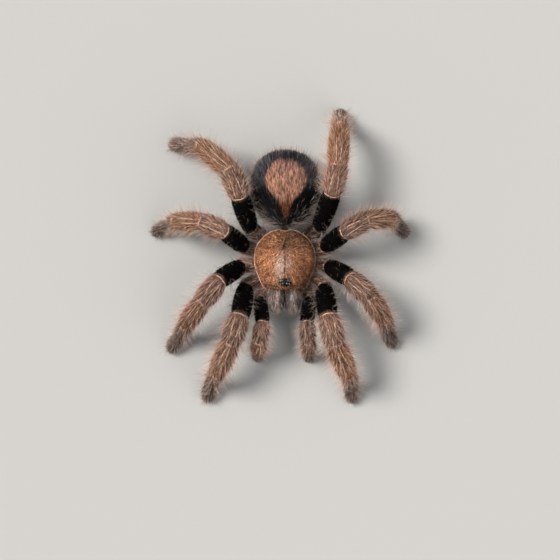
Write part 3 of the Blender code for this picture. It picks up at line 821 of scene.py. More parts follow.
# sheen and its tint, gloss, spread of brightness, darkest, gain at tip and root, then of the palest hairs
# the share they start at, how pale they are and their colour; last the roughness
hairLooks = {
    "velvet": (0.0, (190, 196, 214), 0.045, 0.8, 0.4, 0.4, 0.6, 0.97, 0.15, (60, 54, 52), 0.62),
    "leg": (0.05, (230, 205, 190), 0.25, 1.0, 0.3, 0.7, 0.45, 0.9, 0.25, (206, 176, 156), 0.6),
    "lock": (0.06, (230, 205, 190), 0.35, 0.8, 0.62, 0.6, 0.75, 0.6, 0.45, (218, 188, 168), 0.55),
    "bristle": (0.1, (235, 215, 200), 0.4, 0.8, 0.75, 0.3, 0.8, 0.25, 0.75, (214, 194, 180), 0.5),
    "abdomen": (0.05, (190, 196, 214), 0.11, 1.85, 0.26, 0.7, 0.5, 0.93, 0.3, (110, 104, 104), 0.5),
    "carapace": (0.06, (240, 205, 170), 0.28, 1.5, 0.32, 0.7, 0.5, 0.84, 0.45, (226, 178, 136), 0.45),
    "face": (0.15, (225, 220, 225), 0.6, 1.3, 0.25, 0.7, 0.6, 0.84, 0.5, (190, 174, 168), 0.5),
}
# scale, roughness and share of the fine noise; scale, detail and share of the blotches; bump and its depth;
# roughness and how far it varies; gloss coat and its roughness
surfaceLooks = {
    "skin": ((2600.0, 0.65, 0.31), (500.0, 2.0, 0.248), (0.5, 0.12), (0.55, 0.25), (0.0, 0.03)),
    "carapacePlate": ((3200.0, 0.6, 0.4), (700.0, 3.0, 0.3), (0.6, 0.1), (0.42, 0.2), (0.05, 0.4)),
}
glossLooks = {  # darkest and palest colour, roughness, scale of its clouds, gloss coat
    "eyeDark": ((10, 8, 8), (26, 20, 18), 0.04, 2500.0, 1.0),
    "eyePale": ((24, 21, 20), (62, 56, 52), 0.06, 2500.0, 1.0),
    "horn": ((9, 6, 5), (38, 16, 10), 0.2, 900.0, 0.35),
    "jointRim": ((158, 119, 97), (202, 166, 143), 0.55, 2200.0, 0.0),
    "carapaceMargin": ((168, 124, 98), (214, 178, 152), 0.5, 1600.0, 0.05),
}


def makeHairMaterial(name, look):
    sheen, sheenTint, gloss, spread, darkest, tipGain, rootGain, *palest, roughness = look
    paleFrom, paleShare, paleTone = palest
    material, shader, start = newMaterial(f"{name}Hair", Sheen_Weight=sheen, Sheen_Roughness=0.4,
                                          Sheen_Tint=colour(*sheenTint), Specular_IOR_Level=gloss)
    shade, tip = start.stored("shade"), start.stored("tip")
    brightness = (shade ** 1.5) * spread + darkest
    brightness = brightness * (tip * tipGain + rootGain)
    brightness = brightness * (start.cloud(420.0, 2.0, 0.6) * 0.5 + 0.75)
    hair = start.stored("tone", "Color").times(brightness)
    pale = shade.between(paleFrom, paleFrom + 0.04) * paleShare * (tip * 0.6 + 0.4)
    feed(shader, Base_Color=pale.pick(hair, colour(*paleTone)), Roughness=shade * -0.15 + roughness)
    return material


def makeSurfaceMaterial(name, look):
    (scale, rough, grainShare), (blotchScale, detail, blotchShare), *surface = look
    (bump, depth), (roughness, varies), (coat, coatRoughness) = surface
    material, shader, start = newMaterial(name, Coat_Roughness=coatRoughness, Specular_IOR_Level=0.12)
    grain, blotch = start.cloud(scale, 3.0, rough), start.cloud(blotchScale, detail)
    base = start.stored("tone", "Color").times(grain * grainShare + blotch * blotchShare + 0.05)
    height = start.node("ShaderNodeBump", {}, {"Strength": bump, "Distance": depth * mm, "Height": grain})
    feed(shader, Base_Color=base, Roughness=grain * varies + roughness, Normal=height)
    if coat:
        feed(shader, Coat_Weight=blotch * coat)
    return material


def makeGlossMaterial(name, look):
    # glossy horn or eye with a slow change of colour
    inner, outer, roughness, scale, coat = look
    material, shader, start = newMaterial(name, Coat_Weight=coat, Coat_Roughness=0.04, Coat_IOR=1.65, IOR=1.5)
    cloud = start.cloud(scale)
    base = cloud.between(0.35, 0.65).pick(colour(*inner), colour(*outer))
    feed(shader, Base_Color=base, Roughness=cloud * 0.1 + roughness)
    return material


hairMaterials = {name: makeHairMaterial(name, look) for name, look in hairLooks.items()}
surfaceMaterials = {name: makeSurfaceMaterial(name, look) for name, look in surfaceLooks.items()}
glossMaterials = {name: makeGlossMaterial(name, look) for name, look in glossLooks.items()}


skinSettings = {"voxel": 0.25, "smoothing": 5, "smoothStrength": 0.45, "buriedDepth": 0.16}
pedicelSettings = {  # its profile is how far back and the half-width there
    "profile": ((3.4, 1.1), (5.2, 0.7), (5.8, 0.62), (6.4, 0.75), (8.2, 1.4)), "height": 5.25,
    "rows": 12, "columns": 21, "tone": (122, 78, 54),
}


def makePedicelBed():
    profile = pedicelSettings["profile"]
    y = np.linspace(profile[0][0], profile[-1][0], pedicelSettings["rows"])
    half = readOff(profile, y)
    path = np.stack([0 * y, y, 0 * y + pedicelSettings["height"]], -1)
    turn = around(pedicelSettings["columns"])
    bed = Bed("pedicel", sweep(path, np.array([[1.0, 0, 0]]), np.array([[0, 0, -1.0]]), half, half, turn))
    bed.tone += linear(*pedicelSettings["tone"])
    return bed


def makeSkin():
    # every fleshy part run together, coloured by the nearest point of the beds
    solids = [*skinBeds, makePedicelBed()]
    skin = makeMesh("skin", *merged(bed.closed() for bed in solids))
    pointOutwards(skin, weld=0)
    remesh = skin.modifiers.new("remesh", "REMESH")
    remesh.mode, remesh.voxel_size, remesh.use_smooth_shade = "VOXEL", skinSettings["voxel"] * mm, True
    relax = skin.modifiers.new("relax", "SMOOTH")
    relax.factor, relax.iterations = skinSettings["smoothStrength"], skinSettings["smoothing"]
    mesh = bpy.data.meshes.new_from_object(skin.evaluated_get(bpy.context.evaluated_depsgraph_get()))
    skin.modifiers.clear()
    skin.data = mesh
    mesh.shade_smooth()
    keepLargest(skin)
    points = toFrame(np.vstack([bed.points.reshape(-1, 3) for bed in solids]))
    tones = np.vstack([bed.tone.reshape(-1, 3) for bed in solids])
    tree = KDTree(len(points))
    for index, point in enumerate(points):
        tree.insert(point, index)
    tree.balance()
    storeField(mesh, "tone", tones[[tree.find(v.co)[1] for v in mesh.vertices]])
    mesh.materials.clear()
    mesh.materials.append(surfaceMaterials["skin"])
    return skin


def keepLargest(thing):
    # drop any bubble the remesh left inside
    builder = bmesh.new()
    builder.from_mesh(thing.data)
    seen, shells = set(), []
    for vert in builder.verts:
        if vert in seen:
            continue
        seen.add(vert)
        shell, queue = [], [vert]
        while queue:
            current = queue.pop()
            shell.append(current)
            for edge in current.link_edges:
                other = edge.other_vert(current)
                if other not in seen:
                    seen.add(other)
                    queue.append(other)
        shells.append(shell)
    shells.sort(key=len)
    for shell in shells[:-1]:
        bmesh.ops.delete(builder, geom=shell, context="VERTS")
    builder.to_mesh(thing.data)
    builder.free()
    print("skin shells", len(shells), "kept", len(shells[-1]), "points")


skin = makeSkin()
skinTree = BVHTree.FromPolygons([v.co for v in skin.data.vertices], [p.vertices for p in skin.data.polygons])
print("skin ready:", len(skin.data.polygons), "faces")


def clearBuried(bed):
    # no hair grows where the bed runs inside the skin
    buried = np.zeros(bed.points.shape[:2])
    for index in np.ndindex(buried.shape):
        place = Vector(toFrame(bed.points[index]))
        hit, normal, _, _ = skinTree.find_nearest(place)
        buried[index] = (hit - place).dot(normal) > skinSettings["buriedDepth"] * mm
    for field in ("cover", "bristly", "velvet"):
        setattr(bed, field, getattr(bed, field) * (1 - buried))


for bed in skinBeds:
    clearBuried(bed)


def joined(name, parts, material):
    # one object of several closed shapes
    thing = makeMesh(name, *merged(parts), material)
    pointOutwards(thing)
    return thing


def makeTube(path, radii, columns=16, facing=(0.31, 0.17, 0.93), flatness=1.0):
    # closed smooth tube along a path, both ends rounded to a point; flatness thins it along facing
    path = np.asarray(path, float)
    tangents = unit(np.gradient(path, axis=0))
    across = unit(np.cross(tangents, facing))
    up = np.cross(across, tangents) * flatness
    turn = around(columns + 1)
    return Bed("tube", sweep(path, across, up, radii, radii, turn)).closed()


def makeLoop(path, radii, columns=8):
    # closed ring of a tube, wider than it is thick
    tangents = unit(np.roll(path, -1, 0) - np.roll(path, 1, 0))
    outward = unit(path - path.mean(0))
    turn = around(columns + 1)[:-1]
    grid = sweep(path, outward, np.cross(tangents, outward), 0.8 * radii, 1.25 * radii, turn)
    rows = len(grid)
    corners = [[(i + a) % rows * columns + (j + b) % columns for a, b in ((0, 0), (1, 0), (1, 1), (0, 1))]
               for i in range(rows) for j in range(columns)]
    return grid.reshape(-1, 3), corners


# drop below the carapace's edge and spread of each ring that turns its rim under
plateRim = ((0.16, 1.004), (0.34, 0.996), (0.4, 0.97), (0.4, 0.8), (0.2, 0.4))


def makePlate():
    grid = makeCarapaceGrid(columns=221)
    edge = grid[-1:]
    grid = np.concatenate([grid, *(edge * [spread, spread, 1] - [0, 0, drop] for drop, spread in plateRim)])
    verts, quads = Bed("plate", grid).closed()
    plate = makeMesh("carapace_plate", toFrame(verts), quads, surfaceMaterials["carapacePlate"])
    tones = carapaceTone(grid[:, :-1, 0], grid[:, :-1, 1]).reshape(-1, 3)
    storeField(plate.data, "tone", np.vstack([tones, tones[:1], tones[-1:]]))
    pointOutwards(plate, weld=0)
    return plate


def makeEye(kind, side):
    across, along, up, radius, stretch = eyeSizes[kind]
    centre = np.array([across * side, along, up]) + tubercle["centre"]
    ball = Bed(kind, ballGrid(centre, [radius * s for s in stretch], 15, 25)).closed()
    material = glossMaterials["eyeDark" if kind.startswith("front") else "eyePale"]
    return joined(f"eye_glass_{kind}_{sides[side]}", [ball], material)


fangSettings = {  # from and sweep are degrees from hanging straight down; radii are at shares of the length
    "hinge": (1.6, -9.95, 4.75), "radius": 2.2, "from": 20, "sweep": 96,
    "radii": ((0, 0.46), (0.15, 0.46), (0.6, 0.3), (0.92, 0.11), (1.0, 0.02)),
}


def makeFang(side):
    share = np.linspace(0, 1, 30)
    bend = np.radians(fangSettings["from"] + fangSettings["sweep"] * share)
    (x, y, z), radius = fangSettings["hinge"], fangSettings["radius"]
    forth, down = radius * (np.cos(bend[0]) - np.cos(bend)), radius * (np.sin(bend) - np.sin(bend[0]))
    path = np.stack([x * side + 0 * bend, y + forth, z - down], -1)
    tube = makeTube(path, readOff(fangSettings["radii"], share))
    return joined(f"fang_horn_{sides[side]}", [tube], glossMaterials["horn"])


rimSettings = {  # length and share of it, wire radius, stand-out, bow to the foot on top, share of the circle
    "trochanter": ("coxa", 0.62, 0.06, 0.14, -0.1, 0.42),
    "hip": ("femur", 0.0, 0.08, 0.2, -0.2, 1.0),
    "knee": ("patella", 0.05, 0.09, 0.16, -0.25, 1.0),
    "shin": ("tibia", 0.0, 0.1, 0.16, 0.3, 0.42),
    "ankle": ("metatarsus", 0.0, 0.1, 0.2, 0.3, 0.4),
}
hemSettings = {  # the fringe on some of the folds; lift in degrees, radii at steps along each hair
    "rims": ("shin", "ankle"), "hairs": 64, "length": (0.3, 0.62), "thickness": 0.034, "lift": (14, 34),
    "steps": (0.0, 0.3, 0.65, 1.0), "radii": (1.0, 0.95, 0.62, 0.1), "droop": 0.16, "rootDepth": 0.04,
}


def onLimb(bed, row, turn, standOut):
    # points at fractional rows and turns, standing out from the skin, and which way is out there
    low = np.clip(np.floor(row).astype(int), 0, len(bed.path) - 2)
    share = (row - low)[:, None]

    def blended(values):
        return values[low] * (1 - share) + values[low + 1] * share

    radius = blended(bed.radii[:, None]) + np.broadcast_to(standOut, turn.shape)[:, None]
    outward = (blended(bed.across) * np.cos(turn)[:, None]
               + blended(bed.up) * blended(bed.tall[:, None]) * np.sin(turn)[:, None])
    return blended(bed.path) + outward * radius, unit(outward)


def makeHem(bed, path, outward, alongLimb, chance):
    # short pale hairs that fringe a fold, pointing to the foot
    hairs = []
    steps = np.array(hemSettings["steps"])[:, None]
    radii = hemSettings["thickness"] * bed.girth * np.array(hemSettings["radii"])
    for _ in range(hemSettings["hairs"]):
        place = chance.uniform(2, len(path) - 3)
        low, share = int(place), place % 1
        root = path[low] * (1 - share) + path[low + 1] * share
        lift = math.radians(chance.uniform(*hemSettings["lift"]))
        sway = unit(path[low + 1] - path[low]) * chance.normal(0, 0.2)
        way = unit(alongLimb * math.cos(lift) + outward[low] * math.sin(lift) + sway)
        length = chance.uniform(*hemSettings["length"]) * bed.girth
        sunk = hemSettings["rootDepth"] + hemSettings["droop"] * length * steps ** 2
        hairs.append(makeTube(root + way * length * steps - outward[low] * sunk, radii, 5))
    return hairs


def makeFolds(bed):
    # pale folds of skin at the joints
    parts, chance = [], np.random.default_rng(len(bed.path))
    for number, (rim, (length, place, wire, standOut, bow, circle)) in enumerate(rimSettings.items()):
        rows = np.flatnonzero(bed.names == length)
        if len(rows) == 0:
            continue      # palps have no metatarsus
        whole = circle == 1.0
        turn = math.pi / 2 + np.linspace(-math.pi, math.pi, 61)[:-1] * circle
        row = np.full(len(turn), rows[0] + place * len(rows))
        wave = 0.05 * np.cos(2 * turn + 0.4) + 0.04 * np.cos(5 * turn + number)
        crimp = 0.16 * np.cos(11 * turn + number) + 0.12 * np.cos(17 * turn + 2 * number)
        reach = circle * math.pi
        dive = 1.0 if whole else smoothStep(reach, reach / 2, np.abs(turn - math.pi / 2))
        path, outward = onLimb(bed, row, turn, standOut * dive + 0.03 * crimp)
        alongLimb = bed.tangents[int(row[0])]
        path += alongLimb * ((wave + bow * np.sin(turn)) * bed.girth)[:, None]
        radii = wire * bed.girth * (0.8 + 0.3 * np.sin(turn) + crimp)
        parts.append(makeLoop(path, radii) if whole else makeTube(path, radii, 9, outward, 0.4))
        if rim in hemSettings["rims"]:
            parts += makeHem(bed, path, outward, alongLimb, chance)
    return parts


def makeStripes(bed):
    # the bald lines on top of the lengths
    parts, share = [], np.linspace(0, 1, 24)
    for length, (start, end, near, far) in stripeSettings["lines"].items():
        rows = np.flatnonzero(bed.names == length)
        row = rows[0] + (start + (end - start) * share) * len(rows)
        place = near + (far - near) * share
        swell = 0.3 + 0.7 * np.sin(math.pi * np.clip(share, 0.02, 0.98)) ** 0.5
        for side in sides:
            path, outward = onLimb(bed, row, np.arccos(side * place), stripeSettings["standOut"])
            radii = stripeSettings["wire"] * bed.girth * swell * (1 + 0.18 * np.sin(share * 31 + 4 * side))
            parts.append(makeTube(path, radii, 9, outward, 0.45))
    return parts


marginSettings = {"wire": 0.1, "outwards": 1.014, "height": 6.97, "points": 200}


def makeMargin():
    # pale bead round the edge of the carapace
    turn = frontFine(marginSettings["points"] + 1)[:-1]
    x, y, _ = carapacePoint(np.cos(turn), np.sin(turn), np.zeros_like(turn))
    path = np.stack([x, y, np.zeros_like(x)], -1) * marginSettings["outwards"]
    path[:, 2] = marginSettings["height"]
    radii = marginSettings["wire"] * (1 + 0.25 * np.sin(turn * 7) * np.sin(turn * 3 + 1))
    return joined("carapace_margin", [makeLoop(path, radii)], glossMaterials["carapaceMargin"])


clawSettings = {
    "size": 0.55, "sweep": 105, "apart": 0.2, "lowest": 0.09, "radii": ((0, 0.12), (0.5, 0.09), (1, 0.02)),
}


def makeClaws():
    # two on each leg and one on each palp
    parts, share = [], np.linspace(0, 1, 12)
    bend = np.radians(clawSettings["sweep"]) * share
    for bed in limbBeds.values():
        size = clawSettings["size"] * bed.girth
        forth, rise = (0.75 * np.sin(bend) - 0.25) * size, (np.cos(bend) - 1) * size * 0.75 + 0.15
        level = unit(bed.tangents[-3] * [1, 1, 0])
        radii = readOff(clawSettings["radii"], share) * bed.girth
        for side in ((0,) if bed.name.startswith("palp") else (-1, 1)):
            root = bed.path[-1] + bed.across[-3] * side * clawSettings["apart"] * bed.girth
            path = root + level * forth[:, None] + np.array([0, 0, 1.0]) * rise[:, None]
            path[:, 2] = np.maximum(path[:, 2], clawSettings["lowest"])
            parts.append(makeTube(path, radii, 8))
    return joined("claws", parts, glossMaterials["horn"])


plate, margin = makePlate(), makeMargin()
eyes = {f"eye_{kind}_{word}": makeEye(kind, side) for kind in eyeSizes for side, word in sides.items()}
fangs = {f"fang_{word}": makeFang(side) for side, word in sides.items()}
rims = [joined(f"joint_rims_{bed.name}", makeFolds(bed) + makeStripes(bed), glossMaterials["jointRim"])
        for bed in limbBeds.values()]
claws = makeClaws()
print("hard pieces ready")


tuftShapes = {  # spikes, the shares where each one bends, spread, curl
    "tuft": (3, (), 1.5, 0.5),
    "lock": (2, (0.5,), 1.2, 1.6),
    "bristle": (1, (0.35, 0.7), 2.5, 2.5),
}
tuftCount = 5      # different tufts of each shape


def makeTuft(name, seed, spikes, bends, spread, curl):
    # spikes lie along +z, one unit long and one unit wide at the root
    draw = np.random.default_rng(seed)
    verts, faces = [], []
    for _ in range(spikes):
        root = draw.uniform(-1, 1, 2) * spread * 0.5 if spikes > 1 else np.zeros(2)
        lean = draw.uniform(-1, 1, 2) * spread
        length = draw.uniform(0.72, 1.0) if spikes > 1 else 1.0
        start = len(verts)
        spin = draw.uniform(0, 2)
        for place in (0.0, *bends):
            half = 0.5 * (1 - place) ** 0.7 * (0.8 if place == 0 and bends else 1.0)
            x, y = root + lean * place + np.array([0, -curl]) * place ** 2
            for corner in range(3):
                angle = spin + corner * 2 * math.pi / 3
                verts.append((x + half * math.cos(angle), y + half * math.sin(angle), place * length))
        verts.append((*(root + lean + [0, -curl]), length))
        faces.append((start, start + 2, start + 1))
        for ring in range(len(bends) + 1):
            low = start + ring * 3
            for corner in range(3):
                a, b = low + corner, low + (corner + 1) % 3
                faces.append((a, b, b + 3, a + 3) if ring < len(bends) else (a, b, low + 3))
    mesh = bpy.data.meshes.new(name)
    mesh.from_pydata(verts, [], faces)
    mesh.shade_smooth()
    x, y, z = np.array(verts).T
    storeField(mesh, "tip", z)
    storeField(mesh, "tuftUv", np.stack([0.5 + 0.4 * x / max(np.abs([x, y]).max(), 1e-6), z, 0 * z], -1))
    return bpy.data.objects.new(name, mesh)


def makeTuftShelf(name, shape):
    shelf = bpy.data.collections.new(name)
    for number in range(tuftCount):
        shelf.objects.link(makeTuft(f"{name}_{number}", number + 11 * len(name), *shape))
    return shelf


tuftShelves = {name: makeTuftShelf(name, shape) for name, shape in tuftShapes.items()}
coatInputs = {
    "Shelf": "Collection", "Per Square Metre": "Float", "Seed": "Int", "Width": "Float", "Shortest": "Float",
    "Longest": "Float", "Extra Lift": "Float", "Lift Spread": "Float", "Waywardness": "Float",
    "Density Field": "String", "Material": "Material",
}
patchSize = 0.003      # of each tuft on the unwrap


def makeCoatTree():
    # strews tufts over a bed and lays them along its lie
    tree = bpy.data.node_groups.new("laidCoat", "GeometryNodeTree")
    for way in ("INPUT", "OUTPUT"):
        tree.interface.new_socket("Geometry", in_out=way, socket_type="NodeSocketGeometry")
    for name, kind in coatInputs.items():
        tree.interface.new_socket(name, in_out="INPUT", socket_type=f"NodeSocket{kind}")
    given = addNode(tree, "NodeGroupInput").outputs

    def add(kind, sockets, output=0, **settings):
        return addNode(tree, kind, settings, sockets).outputs[output]

    def field(name, kind="FLOAT"):
        return add("GeometryNodeInputNamedAttribute", {"Name": name}, "Attribute", data_type=kind)

    def sums(operation, first, second=0.0):
        return add("ShaderNodeMath", {0: first, 1: second}, operation=operation)

    def vectors(operation, first, second=(0.0, 0.0, 0.0)):
        return add("ShaderNodeVectorMath", {0: first, 1: second}, operation=operation)

    def scaled(vector, amount):
        return add("ShaderNodeVectorMath", {0: vector, "Scale": amount}, operation="SCALE")

    def draw(low, high, offset, kind="FLOAT"):
        seed = add("FunctionNodeFloatToInt", {0: sums("ADD", given["Seed"], offset)})
        lowest, highest, output = (2, 3, 1) if kind == "FLOAT" else (0, 1, 0)
        sockets = {lowest: low, highest: high, "Seed": seed}
        return add("FunctionNodeRandomValue", sockets, output, data_type=kind)

    density = sums("MULTIPLY", field(given["Density Field"]), given["Per Square Metre"])
    strewn = addNode(tree, "GeometryNodeDistributePointsOnFaces", {"distribute_method": "RANDOM"},
                     {"Mesh": given["Geometry"], "Density": density, "Seed": given["Seed"]}).outputs
    # direction: along the lie, lifted off the skin, with a little waywardness
    lift = sums("ADD", field("lift"), given["Extra Lift"])
    lift = sums("ADD", lift, sums("MULTIPLY", draw(-1.0, 1.0, 1), given["Lift Spread"]))
    lift = sums("MULTIPLY", lift, math.pi / 180)
    level = scaled(field("lie", "FLOAT_VECTOR"), sums("COSINE", lift))
    raised = scaled(strewn["Normal"], sums("SINE", lift))
    stray = scaled(draw((-1.0, -1.0, -1.0), (1.0, 1.0, 1.0), 2, "FLOAT_VECTOR"), given["Waywardness"])
    aim = vectors("NORMALIZE", vectors("ADD", vectors("ADD", level, raised), stray))
    turn = add("FunctionNodeAxesToRotation", {"Primary Axis": aim, "Secondary Axis": strewn["Normal"]},
               primary_axis="Z", secondary_axis="Y")
    length = sums("MULTIPLY", draw(0.0, 1.0, 3), sums("SUBTRACT", given["Longest"], given["Shortest"]))
    length = sums("MULTIPLY", sums("ADD", length, given["Shortest"]), field("reach"))
    width = sums("MULTIPLY", given["Width"], draw(0.75, 1.3, 4))
    size = add("ShaderNodeCombineXYZ", {0: width, 1: width, 2: length})
    shapes = add("GeometryNodeCollectionInfo",
                 {"Collection": given["Shelf"], "Separate Children": True, "Reset Children": True},
                 transform_space="ORIGINAL")
    which = add("FunctionNodeRandomValue", {4: 0, 5: tuftCount - 1, "Seed": given["Seed"]}, 2,
                data_type="INT")
    coat = add("GeometryNodeInstanceOnPoints", {
        "Points": strewn["Points"], "Instance": shapes, "Pick Instance": True, "Instance Index": which,
        "Rotation": turn, "Scale": size,
    })
    shade = draw(0.0, 1.0, 5)
    coat = add("GeometryNodeStoreNamedAttribute", {"Geometry": coat, "Name": "shade", "Value": shade},
               data_type="FLOAT", domain="INSTANCE")
    for spare in ("lie", *Bed.fields):
        coat = add("GeometryNodeRemoveAttribute", {"Geometry": coat, "Name": spare})
    coat = add("GeometryNodeRealizeInstances", {"Geometry": coat})
    # each tuft's patch of the map lies where its root does
    inPatch = scaled(vectors("SUBTRACT", field("tuftUv", "FLOAT_VECTOR"), (0.5, 0.5, 0.0)), patchSize)
    place = vectors("ADD", field("rootUv", "FLOAT_VECTOR"), inPatch)
    coat = add("GeometryNodeStoreNamedAttribute", {"Geometry": coat, "Name": "OFBake", "Value": place},
               data_type="FLOAT2", domain="CORNER")
    coat = add("GeometryNodeSetMaterial", {"Geometry": coat, "Material": given["Material"]})
    addNode(tree, "NodeGroupOutput", {}, {0: coat})
    return tree


coatTree = makeCoatTree()
socketNames = {item.name: item.identifier for item in coatTree.interface.items_tree if item.in_out == "INPUT"}


def bedObject(beds):
    # one mesh of several beds, each with its own strip of the unwrap
    thing = makeMesh("bed", *merged((bed.points.reshape(-1, 3), bed.faces()) for bed in beds))
    strips = []
    for number, bed in enumerate(beds):
        across = (number + 0.01 + 0.98 * bed.turnShare) / len(beds)
        strips.append(np.stack([0.004 + 0.992 * across, 0.004 + 0.992 * bed.rowShare, 0 * across], -1))
    for name in Bed.fields:
        storeField(thing.data, name, np.concatenate([getattr(bed, name).ravel() for bed in beds]))
    grids = {"lie": [bed.lie for bed in beds], "tone": [bed.tone for bed in beds], "rootUv": strips}
    for name, values in grids.items():
        storeField(thing.data, name, np.vstack([grid.reshape(-1, 3) for grid in values]))
    return thing


# shelf, density field, tufts per square mm, width, shortest, longest, extra lift and its spread, waywardness
# and look
coatLayers = {
    "femurVelvet": ("tuft", "velvet", 24.0, 0.12, 0.5, 0.95, 0, 10, 0.2, "velvet"),
    "legUnder": ("tuft", "cover", 19.0, 0.095, 0.9, 1.6, 0, 5, 0.07, "leg"),
    "legLocks": ("lock", "cover", 3.4, 0.085, 1.5, 2.6, -2, 5, 0.05, "lock"),
    "legBristles": ("bristle", "bristly", 8.0, 0.048, 1.9, 3.7, 26, 20, 0.15, "bristle"),
    "abdomenUnder": ("tuft", "cover", 28.0, 0.1, 0.9, 1.7, 0, 6, 0.09, "abdomen"),
    "abdomenHalo": ("bristle", "bristly", 24.0, 0.045, 1.6, 3.2, 14, 16, 0.16, "bristle"),
    "carapaceUnder": ("tuft", "cover", 74.0, 0.08, 0.6, 1.15, 0, 5, 0.1, "carapace"),
    "carapaceBristles": ("bristle", "bristly", 8.0, 0.05, 0.9, 1.6, 24, 14, 0.2, "bristle"),
    "faceUnder": ("tuft", "cover", 40.0, 0.09, 0.6, 1.1, 0, 7, 0.13, "face"),
    "faceLocks": ("bristle", "bristly", 14.0, 0.06, 1.1, 2.0, 6, 10, 0.15, "bristle"),
    "coreUnder": ("tuft", "cover", 20.0, 0.11, 0.6, 1.1, 0, 10, 0.2, "leg"),
    "spinneretUnder": ("tuft", "velvet", 44.0, 0.055, 0.4, 0.75, 0, 8, 0.12, "leg"),
}
limbLayers = ("femurVelvet", "legUnder", "legLocks", "legBristles")
coatPieces = {}      # beds, layers, seed, slot
for number, (limb, bed) in enumerate(limbBeds.items(), 1):
    coatPieces[f"coat_{limb}"] = ([bed], limbLayers, number, "shin")
coatPieces |= {
    "coat_abdomen": ([abdomenBed], ("abdomenUnder",), 21, "abdomen"),
    "coat_abdomen_halo": ([abdomenBed], ("abdomenHalo",), 22, "abdomen"),
    "coat_carapace": ([carapaceBed], ("carapaceUnder", "carapaceBristles"), 23, "carapace"),
    "coat_chelicerae": (cheliceraBeds, ("faceUnder", "faceLocks"), 24, "chelicera"),
    "coat_underside": ([coreBed, *spinneretBeds], ("coreUnder", "spinneretUnder"), 25, "underside"),
}


def growLayer(name, beds, layer, seed):
    shelf, density, perSquare, width, shortest, longest, extra, liftSpread, stray, look = coatLayers[layer]
    values = {
        "Shelf": tuftShelves[shelf], "Density Field": density, "Material": hairMaterials[look], "Seed": seed,
        "Per Square Metre": perSquare / mm ** 2, "Width": width * mm, "Shortest": shortest * mm,
        "Longest": longest * mm, "Extra Lift": float(extra), "Lift Spread": float(liftSpread),
        "Waywardness": stray,
    }
    thing = bedObject(beds)
    grower = thing.modifiers.new("grower", "NODES")
    grower.node_group = coatTree
    for socketName, value in values.items():
        grower[socketNames[socketName]] = value
    grown = bpy.data.meshes.new_from_object(thing.evaluated_get(bpy.context.evaluated_depsgraph_get()))
    bpy.data.objects.remove(thing)
    return addObject(name, grown)


def growCoat(name, beds, layers, seed):
    grown = [growLayer(f"{name}_{layer}", beds, layer, seed * 17 + k) for k, layer in enumerate(layers)]
    coat = grown[0]
    for piece in grown[1:]:
        chosen = [coat, piece]
        with bpy.context.temp_override(active_object=coat, object=coat, selected_editable_objects=chosen):
            bpy.ops.object.join()
    mesh = coat.data
    coat.name = mesh.name = name
    for spare in ("rootUv", "tuftUv"):
        mesh.attributes.remove(mesh.attributes[spare])
    places = np.empty(len(mesh.vertices) * 3, np.float32)
    mesh.vertices.foreach_get("co", places)
    places[2::3] = np.maximum(places[2::3], 0.02 * mm)      # hairs that meet the floor lie on it
    mesh.vertices.foreach_set("co", places)
    mesh.uv_layers.active = mesh.uv_layers["OFBake"]
    print("coat", name, sum(len(p.vertices) - 2 for p in mesh.polygons), "triangles")
    return coat


coats = [(growCoat(name, *growth), slot) for name, (*growth, slot) in coatPieces.items()]
for shelf in tuftShelves.values():
    for tuft in list(shelf.objects):
        bpy.data.objects.remove(tuft)


def settle(piece, slot, *nodes):
    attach(piece, "root")
    if nodes:
        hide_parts(*nodes)


pairedNodes = [f"{part}_{word}" for part in ("spinneret", "chelicera") for word in sides.values()]
limbNodes = [f"{limb}_{part}" for limb in limbStance for part in ("coxa", "femur", "shin", "foot")]
settle(skin, "underside", "sternum", "pedicel", "abdomen", *pairedNodes, *limbNodes)
settle(plate, "carapace", "carapace", "eye_tubercle")
for node, eye in eyes.items():
    settle(eye, "eye", node)
for node, fang in fangs.items():
    settle(fang, "fang", node)
settle(margin, "carapace")
settle(claws, "fang")
for rim in rims:
    settle(rim, "shin")
for coat, slot in coats:
    settle(coat, slot)
print("pieces settled")


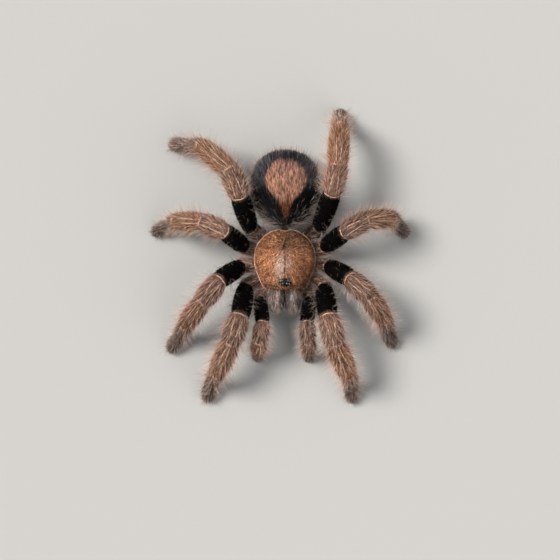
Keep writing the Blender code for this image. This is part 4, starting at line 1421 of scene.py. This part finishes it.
floorSettings = {  # half of it in metres, and a faint cloud between two tints
    "half": 60, "cloud": 3.0, "tints": ((0.304, 0.301, 0.294, 1), (0.316, 0.313, 0.306, 1)),
}
lights = {  # where it shines from, how wide it looks in degrees, strength, colour
    "key": ((-0.62, 0.30, 0.78), 26, 6.1, (1.0, 0.97, 0.93)),
    "fill": ((0.62, -0.40, 0.62), 60, 1.4, (1.0, 0.98, 0.95)),
}
sky = {"horizon": (0.69, 0.669, 0.635, 1), "zenith": (0.40, 0.41, 0.43, 1)}
cameraSettings = {"place": (-0.00006, -0.00528, 0.280), "lens": 82.96, "sensor": 36.0}


def makeFloor():
    material, shader, start = newMaterial("paleFloor", Specular_IOR_Level=0.0)
    cloud = start.cloud(floorSettings["cloud"])
    feed(shader, Base_Color=cloud.pick(*floorSettings["tints"]), Roughness=cloud * 0.1 + 0.75)
    half = floorSettings["half"]
    corners = [(-half, -half, 0), (half, -half, 0), (half, half, 0), (-half, half, 0)]
    makeMesh("floor", corners, [(0, 1, 2, 3)], material, smooth=False)


def makeLights():
    for name, (place, spread, power, tint) in lights.items():
        lamp = bpy.data.lights.new(name, "SUN")
        lamp.angle, lamp.energy, lamp.color = math.radians(spread), power, tint
        holder = addObject(name, lamp)
        holder.location = place
        holder.rotation_euler = (-Vector(place)).to_track_quat("-Z", "Y").to_euler()
    world = bpy.data.worlds.new("studio")
    world.use_nodes = True
    background = world.node_tree.nodes["Background"]
    direction = Signal(world.node_tree).node("ShaderNodeTexCoord", output="Generated")
    height = direction.node("ShaderNodeSeparateXYZ", {}, {0: direction}, "Z").between(0.0, 0.7)
    feed(background, Color=height.pick(sky["horizon"], sky["zenith"]))
    background.inputs["Strength"].default_value = 1.0
    bpy.context.scene.world = world


def makeCamera():
    lens = bpy.data.cameras.new("camera")
    lens.sensor_width, lens.lens = cameraSettings["sensor"], cameraSettings["lens"]
    lens.clip_start, lens.clip_end = 0.01, 10
    camera = addObject("camera", lens)
    camera.location = cameraSettings["place"]
    bpy.context.scene.camera = camera


makeFloor()
makeLights()
makeCamera()
bpy.context.scene.view_settings.view_transform = "Standard"
print("studio ready")
